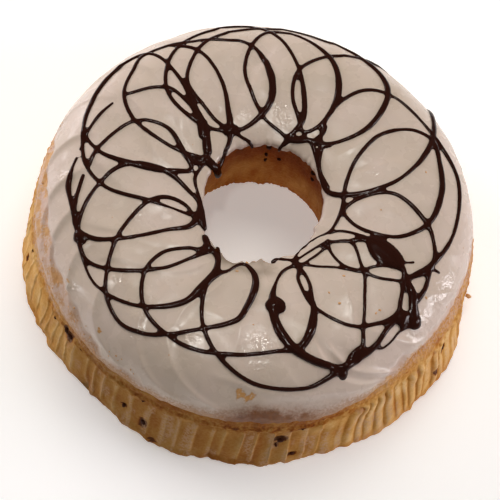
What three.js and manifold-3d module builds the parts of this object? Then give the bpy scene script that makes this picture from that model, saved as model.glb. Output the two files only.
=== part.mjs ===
// Ring cake: a fluted sponge ring, white icing over its top, and a thin chocolate line piped on in loops.
// Millimetres, +Z up, origin on the table under the middle of the ring.
import * as THREE from 'three';
import { mergeVertices } from 'three/addons/utils/BufferGeometryUtils.js';
import Module from 'manifold-3d';

const wasm = await Module();
wasm.setup();

// Ring: reaches are measured from the middle, heights from the table
const baseReach = 115;
const baseHeight = 2.5;
const footReach = 113.6;
const bandTopReach = 109.6;
const bandTop = 31;
const ledgeReach = 109.4;
const ledgeHeight = 34;
const crownReach = 71;
const crownHeight = 63.5;
const rimReach = 30;
const rimHeight = 56;
const holeReach = 40;
const outerRoundness = 2.2;
const innerRoundness = 2;
const domeReach = 109;

// Turns of the shoulders, from 0 at the edge to 90 at the crown, where the sponge and the icing have a row
const spongeTurns = [3.5, 45, 90];
const icingOuterTurns = [24, 48, 70, 90];
const icingInnerTurns = [45, 15];

// The hole sits a little off the middle and is longer than it is wide
const holeShift = new THREE.Vector2(1.3, -3.2);
const holeLength = 1.11;

// Flutes that the pleated paper left round the band, and the slow waves of the base
const fluteCount = 118;
const fluteDepth = 0.8;
const fluteUnevenness = 0.3;
const fluteSwells = [{ count: 8, turn: 40 }, { count: 18, turn: 5 }];
const lobeCount = 6;
const lobeDepth = 1.3;
const lobeTurn = 266;

// Icing: it is thick on the crown, thin at its edges, and marked by strokes of a spatula
const icingThickness = 3;
const icingEdgeThickness = 1.6;
const gap = 0.3;
const icingSides = 48;
const strokeCount = 24;
const strokeDepth = 0.6;
const strokeLean = 2;
const edgeTurn = 9;
const edgeWander = 1.5;
const edgeSwells = [{ count: 3, turn: 200 }, { count: 8, turn: 20 }];
const lipDrop = 2.6;
const lipFlare = 0.4;
const lipWander = 0.8;
const lipSwells = [{ count: 5, turn: 70 }];

// Piped line: its usual width, its height for that width, and how far it is sunk in the icing
const lineWidth = 2.3;
const lineRise = 0.5;
const lineRiseMost = 2.2;
const lineSunk = 1.2;
const lineFootShare = 1.9;
const lineEndShare = 0.6;
const lineSides = 3;
const lineStep = 22;
const lineBend = 40;
const stretchSteps = 4;

// Route of the piped line, as angle round the ring in degrees, reach, and width where it isn't the usual.
// Each route is one unbroken line, which goes along an outer turn, in, round an inner turn and out again.
const routes = [
  [
    [159, 86, 1.3], [173, 89], [191, 91, 2.6], [209, 90], [227, 91], [240, 83], [251, 69, 3.4],
    [254, 54, 4], [247, 43, 4.5], [237, 45, 3], [229, 58], [232, 71], [242, 83], [257, 87], [271, 85],
    [288, 81, 3], [297, 75, 3.2], [303, 61], [305, 47, 3], [300, 41, 2.6], [293, 45], [287, 56, 2.6],
    [288, 71, 4.2], [294, 85, 4], [304, 95, 4.5], [313, 94, 3.6], [324, 89, 3.4], [335, 81, 3.2],
    [342, 71, 4], [346, 58, 5], [344, 46, 4], [340, 38, 3],
  ],
  [[147, 39, 6], [141, 50, 3], [140, 61], [143, 73], [156, 85, 1.8]],
  [
    [141, 45, 4], [138, 58, 3], [136, 74], [138, 97], [149, 100, 3.2], [162, 96, 2.8], [173, 91],
    [180, 79], [182, 62, 3.4], [181, 47, 3], [174, 36, 2.6], [164, 43, 3], [157, 57], [163, 72],
    [178, 80], [193, 87], [206, 90, 3], [212, 84, 3], [216, 71], [219, 50], [222, 40, 3], [215, 33, 4],
    [203, 31], [190, 37, 2.6], [181, 48, 3.2], [183, 66, 2.8], [193, 78], [206, 88], [217, 90, 3],
    [224, 83], [235, 63], [240, 47, 3.6], [234, 38, 5], [221, 33, 5], [202, 30], [180, 33], [166, 32],
    [156, 33, 5],
  ],
  [
    [166, 95, 2.4], [176, 90], [186, 84], [194, 73], [201, 54], [207, 44, 1.4], [213, 36, 2], [206, 37],
    [199, 46, 2.6], [202, 56], [214, 72], [224, 84], [231, 91], [240, 94], [249, 89], [261, 77],
    [272, 68, 3.2], [278, 50, 4.2], [268, 40, 2.8], [258, 47], [255, 57], [260, 74], [268, 86], [279, 95],
    [293, 98], [302, 95], [312, 85], [322, 72], [332, 61], [339, 50], [333, 42, 4], [320, 40], [307, 42],
    [300, 53], [304, 69], [314, 82], [324, 87, 3.2], [337, 88, 3], [349, 88, 3], [2, 80], [13, 64],
    [11, 48], [0, 40], [351, 51], [353, 68], [2, 81], [15, 88, 3.4], [31, 92], [39, 85], [42, 69],
    [36, 51], [21, 41], [6, 39], [350, 37], [338, 37], [326, 35], [313, 37], [303, 40, 3],
  ],
  [
    [339, 80, 3], [348, 87, 3], [1, 94], [20, 99, 3], [31, 96, 3], [41, 93], [54, 88], [61, 79], [65, 65],
    [63, 48], [56, 41, 2.6], [49, 51], [48, 67, 3], [55, 88, 3.4], [64, 97, 3.4], [80, 101], [96, 101],
    [110, 96], [119, 91], [126, 83], [134, 70], [134, 54], [129, 40], [120, 36], [106, 40, 3],
    [97, 51, 3.8], [98, 70, 3.4], [106, 84], [118, 91], [126, 93], [131, 96], [140, 97], [145, 93],
    [155, 85], [162, 72], [165, 56], [164, 42], [160, 33, 3],
  ],
  [
    [80, 34], [65, 38], [50, 34], [33, 31], [16, 33, 3], [13, 43, 3], [20, 68], [33, 91, 3.4],
    [45, 105, 3], [58, 107], [70, 98], [79, 87], [87, 71], [86, 56], [79, 46], [71, 40], [65, 48],
    [68, 69, 3.2], [78, 87, 3], [90, 96], [99, 96], [105, 85], [109, 69], [107, 54], [100, 44, 3],
    [88, 37], [80, 35], [77, 40, 2.8], [82, 58, 2.6], [88, 75], [98, 95], [106, 102], [118, 99],
    [129, 92], [136, 84], [143, 72], [145, 60], [142, 47, 3], [135, 40], [127, 38, 3.4], [122, 48, 3],
    [120, 65], [124, 85], [131, 96],
  ],
  [[303, 40], [313, 38], [323, 37], [332, 39, 4]],
  [[306, 42], [318, 48], [327, 56], [332, 63], [341, 74]],
  [[331, 40, 4], [327, 48], [331, 61], [335, 73], [339, 81, 3]],
  [[327, 88, 3.4], [337, 80, 3.6]],
  [[317, 94, 1.6], [323, 93], [331, 96, 4], [332, 92, 4], [338, 90, 3], [349, 89]],
  [[334, 91, 3], [336, 85], [339, 80, 3]],
  [[140, 46, 5], [146, 40, 8], [152, 35, 9], [160, 32, 6]],
];

// Pools where the line was held still: angle, reach, length, width, and turn of the length from the tangent
const poolSides = 10;
const poolRows = 6;
const pools = [
  [343, 63, 20, 10, 80],
  [287, 60, 10, 9, 0],
  [243, 43, 11, 6, 0],
  [333, 41, 9, 6, 0],
  [304, 96, 6, 5, 60],
  [126, 37, 8, 5, 0],
];

// Looks of the two nodes
const spongeColour = 0xc79a56;
const spongeRoughness = 0.85;
const icingColour = 0xe9ddd0;
const icingRoughness = 0.35;

// Lengths for working out the shapes: how close points are merged, and how far apart slopes are taken
const mergeWithin = 1e-5;
const slopeProbe = 0.5;
const settlePasses = 8;

const radians = THREE.MathUtils.degToRad;
const wave = (angle, count, turn) => Math.cos(count * (angle - radians(turn)));
const swell = (angle, swells) => swells.reduce((sum, { count, turn }) => sum + wave(angle, count, turn), 0);

// A quarter of a rounded shoulder: how far out and up it is at a turn of 0 (edge) to 90 (crown) degrees
function shoulder(turn, roundness) {
  const a = radians(turn);
  return {
    out: Math.max(Math.cos(a), 0) ** (2 / roundness),
    up: Math.max(Math.sin(a), 0) ** (2 / roundness),
  };
}

// Points of the dome's outer and inner shoulders, inset from the icing's top by a share of its thickness
function outerPoint(turn, edgeInset, crownInset) {
  const { out, up } = shoulder(turn, outerRoundness);
  return [
    crownReach + (domeReach - edgeInset - crownReach) * out,
    ledgeHeight + (crownHeight - crownInset - ledgeHeight) * up,
  ];
}

function innerPoint(turn, edgeInset, crownInset) {
  const { out, up } = shoulder(turn, innerRoundness);
  return [
    crownReach - (crownReach - rimReach - edgeInset) * out,
    rimHeight + (crownHeight - crownInset - rimHeight) * up,
  ];
}

// Moves a point of a round ring to where it lies on this one, whose hole is off the middle
function holeShare(reach) {
  return THREE.MathUtils.clamp((crownReach - reach) / (crownReach - rimReach), 0, 1);
}

function settle(reach, angle, height) {
  const share = holeShare(reach);
  const x = reach * Math.cos(angle) + holeShift.x * share;
  const y = reach * Math.sin(angle) * (1 + (holeLength - 1) * share) + holeShift.y * share;
  return new THREE.Vector3(x, y, height);
}

// Section of the icing's top, from its outer edge over the crown to its lip in the hole
const icingTopRows = [
  ...[edgeTurn, ...icingOuterTurns].map((turn) => outerPoint(turn, 0, 0)),
  ...icingInnerTurns.map((turn) => innerPoint(turn, 0, 0)),
  [rimReach + lipFlare, rimHeight - lipDrop],
];

// Height of the icing's top at a place, found from the reach that the round ring has there
function icingTop(x, y) {
  let reach = Math.hypot(x, y);
  for (let pass = 0; pass < settlePasses; pass += 1) {
    const share = holeShare(reach);
    reach = Math.hypot(x - holeShift.x * share, (y - holeShift.y * share) / (1 + (holeLength - 1) * share));
  }
  const inner = Math.max(icingTopRows.findIndex((row) => row[0] < reach), 1);
  const [outerReach, outerHeight] = icingTopRows[inner - 1];
  const [innerReach, innerHeight] = icingTopRows[inner];
  const part = (outerReach - reach) / (outerReach - innerReach);
  return outerHeight + (innerHeight - outerHeight) * THREE.MathUtils.clamp(part, 0, 1);
}

// A closed ring: a lathe turns a section of the given number of points, and each point moves to its place
function ring(rowCount, sides, place) {
  const section = Array.from({ length: rowCount + 1 }, () => new THREE.Vector2(1, 0));
  const geometry = new THREE.LatheGeometry(section, sides);
  const positions = geometry.attributes.position;
  for (let side = 0; side <= sides; side += 1) {
    const angle = radians(((side % sides) * 360) / sides);
    for (let row = 0; row <= rowCount; row += 1) {
      const point = place(row % rowCount, angle);
      positions.setXYZ(side * (rowCount + 1) + row, point.x, point.y, point.z);
    }
  }
  return weld(geometry);
}

function weld(geometry) {
  geometry.deleteAttribute('normal');
  geometry.deleteAttribute('uv');
  return mergeVertices(geometry, mergeWithin);
}

// Sponge: fluted band, crusty ledge, dome under the icing, and the plain wall of the hole
function spongeGeometry() {
  const edgeInset = icingEdgeThickness + gap;
  const crownInset = icingThickness + gap;
  const rows = [
    [footReach, 0],
    [baseReach, baseHeight],
    [bandTopReach, bandTop],
    [ledgeReach, ledgeHeight],
    ...spongeTurns.map((turn) => outerPoint(turn, edgeInset, crownInset)),
    innerPoint(0, edgeInset, crownInset),
    [holeReach, 0],
  ];
  const bandRows = 3;
  return ring(rows.length, 2 * fluteCount, (row, angle) => {
    let [reach, height] = rows[row];
    if (row < bandRows) {
      const fade = 1 - height / (2 * bandTop);
      const depth = fluteDepth * (1 + fluteUnevenness * swell(angle, fluteSwells));
      reach += depth * fade * wave(angle, fluteCount, 0);
      reach += lobeDepth * fade * wave(angle, lobeCount, lobeTurn);
    }
    return settle(reach, angle, height);
  });
}

// Bare icing: its top with the spatula's strokes, the lip in the hole, and the underside along the sponge
function icingGeometry() {
  const under = [icingEdgeThickness, icingThickness];
  const lip = icingTopRows.length - 1;
  const rows = [
    ...icingTopRows,
    [rimReach + lipFlare + icingEdgeThickness, rimHeight - lipDrop],
    innerPoint(0, ...under),
    outerPoint(90, ...under),
    outerPoint(45, ...under),
    outerPoint(edgeTurn, ...under),
  ];
  return ring(rows.length, icingSides, (row, angle) => {
    let [reach, height] = rows[row];
    if (row === 0 || row === rows.length - 1) {
      const turn = edgeTurn + edgeWander * swell(angle, edgeSwells);
      [reach, height] = row === 0 ? outerPoint(turn, 0, 0) : outerPoint(turn, ...under);
    } else if (row < lip) {
      const lean = radians(strokeLean * (reach - crownReach));
      height += strokeDepth * wave(angle - lean, strokeCount, 0);
    } else if (row <= lip + 1) {
      height += lipWander * swell(angle, lipSwells);
    }
    return settle(reach, angle, height);
  });
}

// Space that the sponge takes up round the hole, with the gap that the piped line keeps to it
function holeWallGeometry() {
  const rows = [
    [crownReach, 0],
    outerPoint(90, icingEdgeThickness, icingThickness),
    innerPoint(0, icingEdgeThickness, icingThickness),
    [holeReach - gap, 0],
  ];
  return ring(rows.length, icingSides, (row, angle) => settle(rows[row][0], angle, rows[row][1]));
}

function solid(geometry) {
  const mesh = new wasm.Mesh({
    numProp: 3,
    vertProperties: new Float32Array(geometry.attributes.position.array),
    triVerts: new Uint32Array(geometry.index.array),
  });
  return new wasm.Manifold(mesh);
}

// Frame of the icing's top at a place: the place itself, the way along, the way across and the way up
function lieOfIcing(x, y, heading) {
  const height = icingTop(x, y);
  const slopeX = (icingTop(x + slopeProbe, y) - icingTop(x - slopeProbe, y)) / (2 * slopeProbe);
  const slopeY = (icingTop(x, y + slopeProbe) - icingTop(x, y - slopeProbe)) / (2 * slopeProbe);
  const up = new THREE.Vector3(-slopeX, -slopeY, 1).normalize();
  const along = new THREE.Vector3(heading.x, heading.y, 0);
  along.addScaledVector(up, -along.dot(up)).normalize();
  const across = new THREE.Vector3().crossVectors(up, along);
  return { place: new THREE.Vector3(x, y, height), along, across, up };
}

// Cross-sections of one line on a smooth curve through its route, closer together where it bends,
// and narrower at both ends
function lineSections(route) {
  const knots = route.map(([angle, reach, width = lineWidth]) => {
    const a = radians(angle);
    return new THREE.Vector3(reach * Math.cos(a), reach * Math.sin(a), width);
  });
  const curve = new THREE.CatmullRomCurve3(knots, false, 'centripetal');
  const count = Math.ceil(curve.getLength());
  const headings = Array.from({ length: count + 1 }, (_, i) => {
    return curve.getTangentAt(i / count).setZ(0).normalize();
  });
  const efforts = [0];
  for (let i = 1; i <= count; i += 1) {
    const bend = headings[i].angleTo(headings[i - 1]) / radians(lineBend);
    efforts.push(efforts[i - 1] + curve.getLength() / count / lineStep + bend);
  }
  const steps = Math.max(2, Math.round(efforts[count]));
  return Array.from({ length: steps + 1 }, (_, step) => {
    const i = efforts.findIndex((effort) => effort >= (step * efforts[count]) / steps - mergeWithin);
    const point = curve.getPointAt(i / count);
    const width = step === 0 || step === steps ? point.z * lineEndShare : point.z;
    return { ...lieOfIcing(point.x, point.y, headings[i]), width };
  });
}

// One stretch of the line: a three-sided bar, with one edge up, bent along its cross-sections
function stretch(sections) {
  const steps = sections.length - 1;
  const bar = new THREE.CylinderGeometry(1, 1, steps, lineSides, steps);
  const positions = bar.attributes.position;
  for (let i = 0; i < positions.count; i += 1) {
    const { place, across, up, width } = sections[Math.round(steps / 2 - positions.getY(i))];
    const lift = positions.getZ(i);
    const rise = lift > 0 ? lift * Math.min(lineRise * width, lineRiseMost) : 2 * lift * lineSunk;
    const point = place.clone();
    point.addScaledVector(across, (positions.getX(i) * width * lineFootShare) / 2);
    point.addScaledVector(up, rise);
    positions.setXYZ(i, point.x, point.y, point.z);
  }
  return solid(weld(bar));
}

// A pool of the line: a flattened ball that lies on the icing
function pool([angle, reach, length, width, turn]) {
  const a = radians(angle);
  const heading = new THREE.Vector2(-Math.sin(a), Math.cos(a));
  heading.rotateAround(new THREE.Vector2(), radians(turn));
  const { place, along, across, up } = lieOfIcing(reach * Math.cos(a), reach * Math.sin(a), heading);
  const ball = new THREE.SphereGeometry(1, poolSides, poolRows);
  ball.scale(length / 2, width / 2, lineRiseMost);
  ball.applyMatrix4(new THREE.Matrix4().makeBasis(along, across, up).setPosition(place));
  return solid(weld(ball));
}

// Icing with the whole piped line joined to it
function icedTopGeometry() {
  let joined = solid(icingGeometry());
  for (const route of routes) {
    const sections = lineSections(route);
    for (let start = 0; start < sections.length - 1; start += stretchSteps) {
      joined = joined.add(stretch(sections.slice(start, start + stretchSteps + 1)));
    }
  }
  for (const figures of pools) {
    joined = joined.add(pool(figures));
  }
  joined = joined.subtract(solid(holeWallGeometry()));
  const shells = joined.decompose().sort((a, b) => b.volume() - a.volume());
  const mesh = shells[0].getMesh();
  const geometry = new THREE.BufferGeometry();
  const positions = new Float32Array(mesh.vertProperties);
  geometry.setAttribute('position', new THREE.BufferAttribute(positions, mesh.numProp));
  geometry.setIndex(new THREE.BufferAttribute(new Uint32Array(mesh.triVerts), 1));
  return geometry;
}

function node(name, geometry, color, roughness) {
  const mesh = new THREE.Mesh(geometry, new THREE.MeshStandardMaterial({ color, roughness, metalness: 0 }));
  mesh.name = name;
  return mesh;
}

const cake = new THREE.Group();
cake.add(node('sponge', spongeGeometry(), spongeColour, spongeRoughness));
cake.add(node('icing', icedTopGeometry(), icingColour, icingRoughness));

export default cake;
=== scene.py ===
"""Looks of the ring cake: browned fluted sponge, smoothed icing, piped chocolate, chips and crumbs."""
import math

import bmesh
import bpy
import numpy as np
from mathutils import Matrix, Vector


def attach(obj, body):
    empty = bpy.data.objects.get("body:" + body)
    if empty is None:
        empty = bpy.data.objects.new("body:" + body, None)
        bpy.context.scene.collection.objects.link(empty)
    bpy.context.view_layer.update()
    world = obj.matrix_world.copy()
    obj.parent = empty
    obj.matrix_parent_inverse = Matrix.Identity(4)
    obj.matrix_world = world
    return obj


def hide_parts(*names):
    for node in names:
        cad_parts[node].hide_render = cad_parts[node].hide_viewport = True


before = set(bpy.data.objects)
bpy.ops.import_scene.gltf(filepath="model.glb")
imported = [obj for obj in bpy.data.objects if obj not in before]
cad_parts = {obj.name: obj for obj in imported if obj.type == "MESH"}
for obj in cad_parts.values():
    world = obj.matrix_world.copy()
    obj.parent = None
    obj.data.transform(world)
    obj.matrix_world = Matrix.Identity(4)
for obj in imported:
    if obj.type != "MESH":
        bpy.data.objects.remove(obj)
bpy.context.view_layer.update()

# Form of the ring in millimetres: reaches are measured from the middle, heights from the table
MM = 0.001
BAND_HEIGHTS = [0, 2.5, 31, 34]
BAND_REACHES = [113.6, 115, 109.6, 109.4]
BAND_REACH = 115.0
BAND_TOP = 31.0
LEDGE_HEIGHT = 34.0
DOME_REACH = 109.0
CROWN_REACH = 71.0
CROWN_HEIGHT = 63.5
RIM_REACH = 30.0
RIM_HEIGHT = 56.0
HOLE_REACH = 40.0
OUTER_ROUNDNESS = 2.2
INNER_ROUNDNESS = 2.0
HOLE_SHIFT_X = 1.3
HOLE_SHIFT_Y = -3.2
HOLE_LENGTH = 1.11
SETTLE_PASSES = 8
NOISE_CELLS = 48

# Rows of the sponge's section: foot, band, ledge, shoulder by its turn in degrees, top, and wall of the hole
FOOT_REACHES = [90, 112.4, 113.8]
FOOT_HEIGHTS = [0, 0, 0.5]
BAND_ROWS = np.linspace(1.3, BAND_TOP, 30)
LEDGE_ROWS = [31.9, 32.7, 33.4, 34]
SHOULDER_ROWS = np.linspace(1, 39, 22)
SHOULDER_TURNS = [0, 8, 20, 39]
SHOULDER_INSETS = [0.3, 1, 2.2, 3.2]
TOP_ROWS = np.array([71.0, 46, 36])
TOP_INSET = 3.3
WALL_ROWS = np.array([57, 55.8, 54.6, 53.2, 51.6, 50, *np.linspace(47, 2, 12), 0.6, 0])
WALL_HEIGHTS = [0, 54, 56, 58]
WALL_REACHES = [HOLE_REACH, RIM_REACH + 1.4, RIM_REACH + 2, 34.5]
UNDER_REACH = 65

# Flutes of the band: steps and heights across one, from its ridge to the next one
FLUTES = 118
FLUTE_STEPS = np.array([0, 0.05, 0.1, 0.17, 0.3, 0.48, 0.66, 0.8, 0.89, 0.95])
FLUTE_RELIEF = np.array([1, 0.55, 0.12, 0, 0.06, 0.18, 0.34, 0.52, 0.78, 0.96])
FLUTE_ROUND = np.array([0, 0.28, 0.52, 0.78, 1, 0.98, 0.8, 0.5, 0.25, 0.08])
FLUTE_DEPTH = 1.45
FLUTE_DEPTH_RANGE = (0.3, 1.2)
FLUTE_ROUND_DEEPER = 0.3
FLUTE_SUNK = 0.5
FLUTE_JITTER = 0.36

# Flutes at some angles: how wide, how rounded; where they are shallow; and how much higher they reach
FLUTE_WIDE, FLUTE_ROUNDED = 1, 2
FLUTE_KINDS = [
    [0, 1, 0.3], [150, 1, 0.2], [200, 1.05, 0.4], [225, 1.15, 0.3], [242, 1.35, 0], [288, 1.35, 0],
    [300, 1.15, 0.5], [310, 1, 1], [332, 1, 1], [345, 1, 0.6], [360, 1, 0.3],
]
FLUTE_SHARES = [[0, 1], [180, 1], [195, 0.8], [262, 0.8], [275, 1], [360, 1]]
RAISED = [[0, 0], [295, 0], [305, 3.5], [315, 6], [335, 6], [345, 3.5], [360, 0]]
LOBES = 6
LOBE_DEPTH = 1.3
LOBE_TURN = 266.0

# Folds and bulges of the band: angle, height, half width, half height, and how far each stands out
FOLDS = [
    [229.5, 25, 4.5, 8, 1.5], [285, 4, 18, 9, 1.9], [258, 3, 9, 8, 1.2], [236.3, 3, 3, 8, -3],
    [271.5, 3, 2.2, 8, -1.2], [296.5, 3, 3, 8, -0.6], [301, 3, 7, 8, 1.6], [311, 3, 14, 9, 1.3],
    [343, 7, 17, 13, 2.5], [205, 12, 6, 10, 0.9], [290.5, 2, 2.5, 4, 1.2],
]

# Heights between which parts of the sponge fade out or in
BAND_FADE = (29.5, 32.5)
FOOT_FADE = (4, 11)
CRUST_RISE = (29.5, 32)
HOLE_EDGE_FADE = (0.5, 4)
HOLE_FOOT_FADE = (0.5, 12)
HOLE_RIM_RISE = (44, 54)
BAND_MIDDLE = 16
BAND_HALF = 15

# Relief of the sponge, as layers of noise: strength, size in millimetres, and seed
FLUTE_LEAN = [(0.9, (24, 24, 400), 4)]
FLUTE_BEND = [(0.6, (17, 17, 400), 27)]
FLUTE_WEAR = [(0.8, (9, 9, 11), 5)]
FLUTE_WORN = 0.8
FLUTE_WORN_LIMITS = (0.15, 1.3)
FLUTE_LOST_AT_FOOT = 0.72
FOOT_WRINKLES = [(0.9, (7, 7, 5), 6), (0.5, (3.2, 3.2, 3), 7)]
CRUMB_RELIEF = [(0.3, 2.4, 8), (0.18, 1.3, 9)]
CRUMB_ON_BAND = 0.45
CRUMB_ON_CRUST = 1.3
BAND_BULGES = [(0.6, (13, 13, 16), 10), (0.4, (6, 6, 8), 28)]
BAND_CREASES = [(0.8, (8, 8, 9), 45), (0.5, (4, 4, 5), 46)]
CREASE_TOP = 0.5
CREASE_FALL = 1.6
CREASE_ON_BAND = 0.4
CRUST_RELIEF = [(0.5, (6, 6, 4), 17), (0.8, (3, 3, 2.4), 48)]
CRUST_DEPTH = 0.7
CRUST_RIDGE = (32.5, 2.2)
WALL_RELIEF = [(0.3, (8, 8, 14), 18)]
HOLE_EDGE = [(0.6, (6, 6, 40), 19), (0.4, (2.5, 2.5, 40), 29)]
STEEP_ENOUGH = 0.05
FREE_OF_TABLE = 1.0

# Browning of the sponge, from 0 for pale to 1 for burnt; a place is a height with a width
BAND_BROWN = 0.42
# Painted shade in the flutes' grooves, and painted highlight on their ridges and crests
GROOVE_SHADE = 0.05
GROOVE_SHARPNESS = 6
RIDGE_HIGHLIGHT = 0.08
CREST_HIGHLIGHT = 0.18
CREST_RISE = (0.35, 0.75)
BAND_PATCHES = [(0.16, (8, 8, 10), 20)]
FOOT_PATCHES = [(0.14, (6, 6, 5), 21)]
SEAM_BROWN = 0.02
SEAM_BURNT = 0.22
SEAM_PLACE = (33.5, 1.7)
SEAM_WANDER = [(1.8, 6, 25)]
SEAM_BROKEN = [(1.2, (4, 4, 3), 47)]
SEAM_WHOLE = 0.6
SEAM_MOST = 1.4
LEDGE_BURNT = 0.14
LEDGE_RISE = (32, 36)
WALL_BROWN = 0.55
WALL_TOP_BROWN = 0.28
WALL_BROWN_RISE = (24, 48)
WALL_PATCHES = [(0.12, 12, 22)]
SPECKLES = [(1, (2, 2, 1.6), 49)]
SPECKLE_PLACE = (34, 3.5)
SPECKLE_BROWN = 0.5
GRAINS = [(1, (1.6, 1.6, 1.4), 53)]
GRAIN_RISE = (31, 35)
GRAIN_BROWN = 0.16
GRAIN_LOST = 0.5
CHIP_BROWN = 0.9
CHIP_EDGE = 0.25
CRUST_PLACE = (34.5, 3)
CRUST_LEAST = 0.3
TONES = [
    [0, -0.02], [150, -0.04], [190, -0.13], [210, -0.1], [225, -0.06], [238, 0.02], [290, 0.02],
    [310, -0.03], [335, 0.01], [348, 0.02], [360, -0.02],
]

# Paler places of the hole's wall: angle and height; then how pale, and their half width and half height
PALE_PLACES = [[111, 22], [58, 15], [175, 18], [250, 24], [320, 16]]
PALE_SHARE = 0.16
PALE_WIDE = 7
PALE_HIGH = 6

# Icing: its rows, its edge's turn up the dome at some angles, and how ragged its edges are
ICING_COLUMNS = 960
OUTER_ROWS = 54
OUTER_SPACING = 1.3
INNER_ROWS = np.linspace(88, 3, 36)
UNDER_ROWS = [33.8, 50, 92, 102]
UNDER_INSET = 2.6
CLOSING_INSET = 0.5
CLOSING_RISE = 0.1
EDGE_TURNS = [
    [0, 19], [20, 10], [60, 6], [150, 8], [176, 9], [200, 9], [230, 8], [262, 8], [290, 7], [300, 8],
    [305, 11], [309, 15], [313, 19], [319, 24], [326, 27], [336, 26], [348, 26], [360, 19],
]
EDGE_LEAST = 1.5
EDGE_RAGGED = [(2.6, 9, 31), (1.6, 3, 32)]
FEATHER_TURNS = [0, 3, 8, 16]
FEATHER_SUNK = [1.25, 0.75, 0.25, 0]
EDGE_RELIEF_RISE = (0, 0.2)
LIP_SHIFTS = [-0.1, 0.05, 0.25, 0.6, 1.2, 1.7, 2.2]
LIP_DROPS = [0.2, 0.8, 1.5, 2, 2.2, 2, 1]
LIP_RAGGED = 0.6
LIP_RAGGED_LIMITS = (-1.2, 2)
RIM_FADE = (30, 35)
RIM_RAGGED = [(0.8, 5, 33), (0.8, 1.8, 34)]
RIM_RAGGED_SHARE = 0.45
TORN_PLACE = (270, 17)
TORN_MORE = 1.6

# Spatula strokes of the icing: their sweep, where they start and stop, and how deep they are
STROKE_SWEEP = 5.5
STROKE_LIMIT = 107.0
STROKE_START = 84.0
STROKE_LEFT = (0.04, 2)
STROKE_RISE = 8
STROKE_EARLIER = 4
STROKE_FADE = (104, 108)
STROKE_FALL = 5.0
STROKE_FALL_MOST = 0.42
STROKE_DEPTH = 0.75
STROKE_MIDDLE = 0.5
STROKE_WANDER = [(2.6, 26, 12)]
STROKE_UNEVEN = [(5, 18, 13)]
INNER_STROKES = 17
INNER_STROKE_LEAN = -0.45
INNER_STROKE_MIDDLE = 65
INNER_STROKE_DEPTH = 0.85
INNER_STROKE_RANGE = (0.2, 1.2)
INNER_STROKE_WANDER = [(10, 30, 14)]
INNER_STROKE_RISE = (38, 48)
INNER_STROKE_FADE = (78, 90)
ICING_LUMPS = [(0.28, 15, 15), (0.11, 6, 16)]
LUMPS_RISE = (30, 36)
LUMPS_MORE = 1.5
LUMPS_MORE_FADE = (78, 92)
SURFACE_PROBE = 0.4
SURFACE_INSET = 0.6

# Crests between the strokes: angle where each starts, and depth of the stroke after it
CRESTS = np.array([
    [8, 0.3], [30, 0.5], [52, 0.6], [72, 0.9], [90, 0.7], [108, 1], [124, 0.8], [140, 1], [156, 1],
    [172, 1.4], [187.5, 1.6], [201, 1.7], [214, 1.6], [225.5, 1.3], [242, 1.2], [253, 1.1], [272, 0.4],
    [286, 0.5], [300, 1.4], [304.4, 1.7], [318.5, 1.1], [336, 0.7], [352, 0.3],
])

# Long ridge low on the front, under which the icing runs thin: angle, reach, and how strong it is
RIDGE_REACH, RIDGE_SHARE = 1, 2
RIDGE = [
    [266, 94.5, 0], [274, 95.7, 0.8], [286, 99.5, 1], [300, 101.4, 1], [311, 105, 0.7], [318, 107, 0],
]
RIDGE_RISE = 0.45
RIDGE_WIDTH = 1.3
RIDGE_DROP = 0.7
RIDGE_DROP_WIDTH = 3
RIDGE_FADE = (103, 107)

# Places where the icing is puckered and sparkles: angle, reach, and size
GLINTS = [
    [228, 81, 5], [242, 78, 5], [246, 92, 4], [258, 83, 5], [280, 80, 7], [281, 90, 6], [343, 93, 8],
    [348, 99, 6], [341, 98, 6], [329, 98.5, 6], [333.5, 97, 5], [344, 100, 7], [12, 86, 7], [25, 82, 6],
    [114, 45.5, 5], [91, 48, 6], [87, 42, 5], [61, 36.5, 4], [25.5, 54.7, 5], [190, 95, 5],
    [205, 62, 5], [218, 76, 4], [235.5, 101, 4], [256.8, 97.4, 3], [244, 95.4, 4], [221, 99.5, 4],
    [230.7, 98.9, 4], [240.6, 86.2, 4],
]

# Height down to which the icing is thick, at some angles, and how its edge wanders
THICK = [
    [0, 50], [60, 44], [155, 42], [172, 47], [180, 52.5], [207, 52.7], [212, 51.8], [222, 53],
    [229, 51.5], [235, 48], [240, 46], [248, 45.5], [256, 45.5], [262, 46], [267, 47], [274, 49],
    [280, 52], [285, 52], [289, 51], [292, 50], [297, 48.5], [303, 48], [312, 49.5], [320, 52],
    [345, 52], [360, 50],
]
THICK_WANDER = [(1.3, 9, 36), (0.7, 3.2, 37)]

# Film below that height at some angles: how bare, how dark, how softly it starts, and the step down to it
FILM_BARE, FILM_DARK, FILM_SOFTNESS, FILM_STEP = 1, 2, 3, 4
FILM = [
    [0, 0.12, 0, 2, 0.4], [60, 0.25, 0, 2, 0.4], [150, 0.25, 0, 1.2, 0.6], [172, 0.3, 0, 0.6, 0.8],
    [176, 0.6, 0, 0.5, 1], [196, 0.55, 0, 0.5, 1], [204, 0.58, 0.1, 0.8, 0.8], [222, 0.5, 0.25, 2, 0.6],
    [236, 0.42, 0.45, 2, 0.3], [262, 0.5, 0.5, 2.5, 0.2], [270, 0.9, 0.6, 4.5, 0.2],
    [277, 2, 1, 6.5, 0.2], [293, 1.9, 0.9, 6.5, 0.2], [306, 1.4, 0.6, 4, 0.2],
    [318, 0.3, 0.25, 2.4, 0.5], [335, 0.12, 0.05, 1.6, 0.5], [360, 0.12, 0, 2, 0.4],
]
FILM_START = -0.2
FILM_STEP_RISE = (-0.3, 0.8)
FILM_RELIEF = [(0.22, 2.4, 38), (0.14, 1.4, 39)]
FILM_RELIEF_LEAST = 0.25
THIN_START = 0.6
THIN_COVERED = 0.35
THIN_COVERED_FADE = (41, 46)
FRINGE_START = 0.08
FRINGE_WIDTH = 0.06
FRINGE_WIDER = 0.38
FRINGE_THIN = 0.55
FRINGE_THINNER = 0.35

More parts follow.
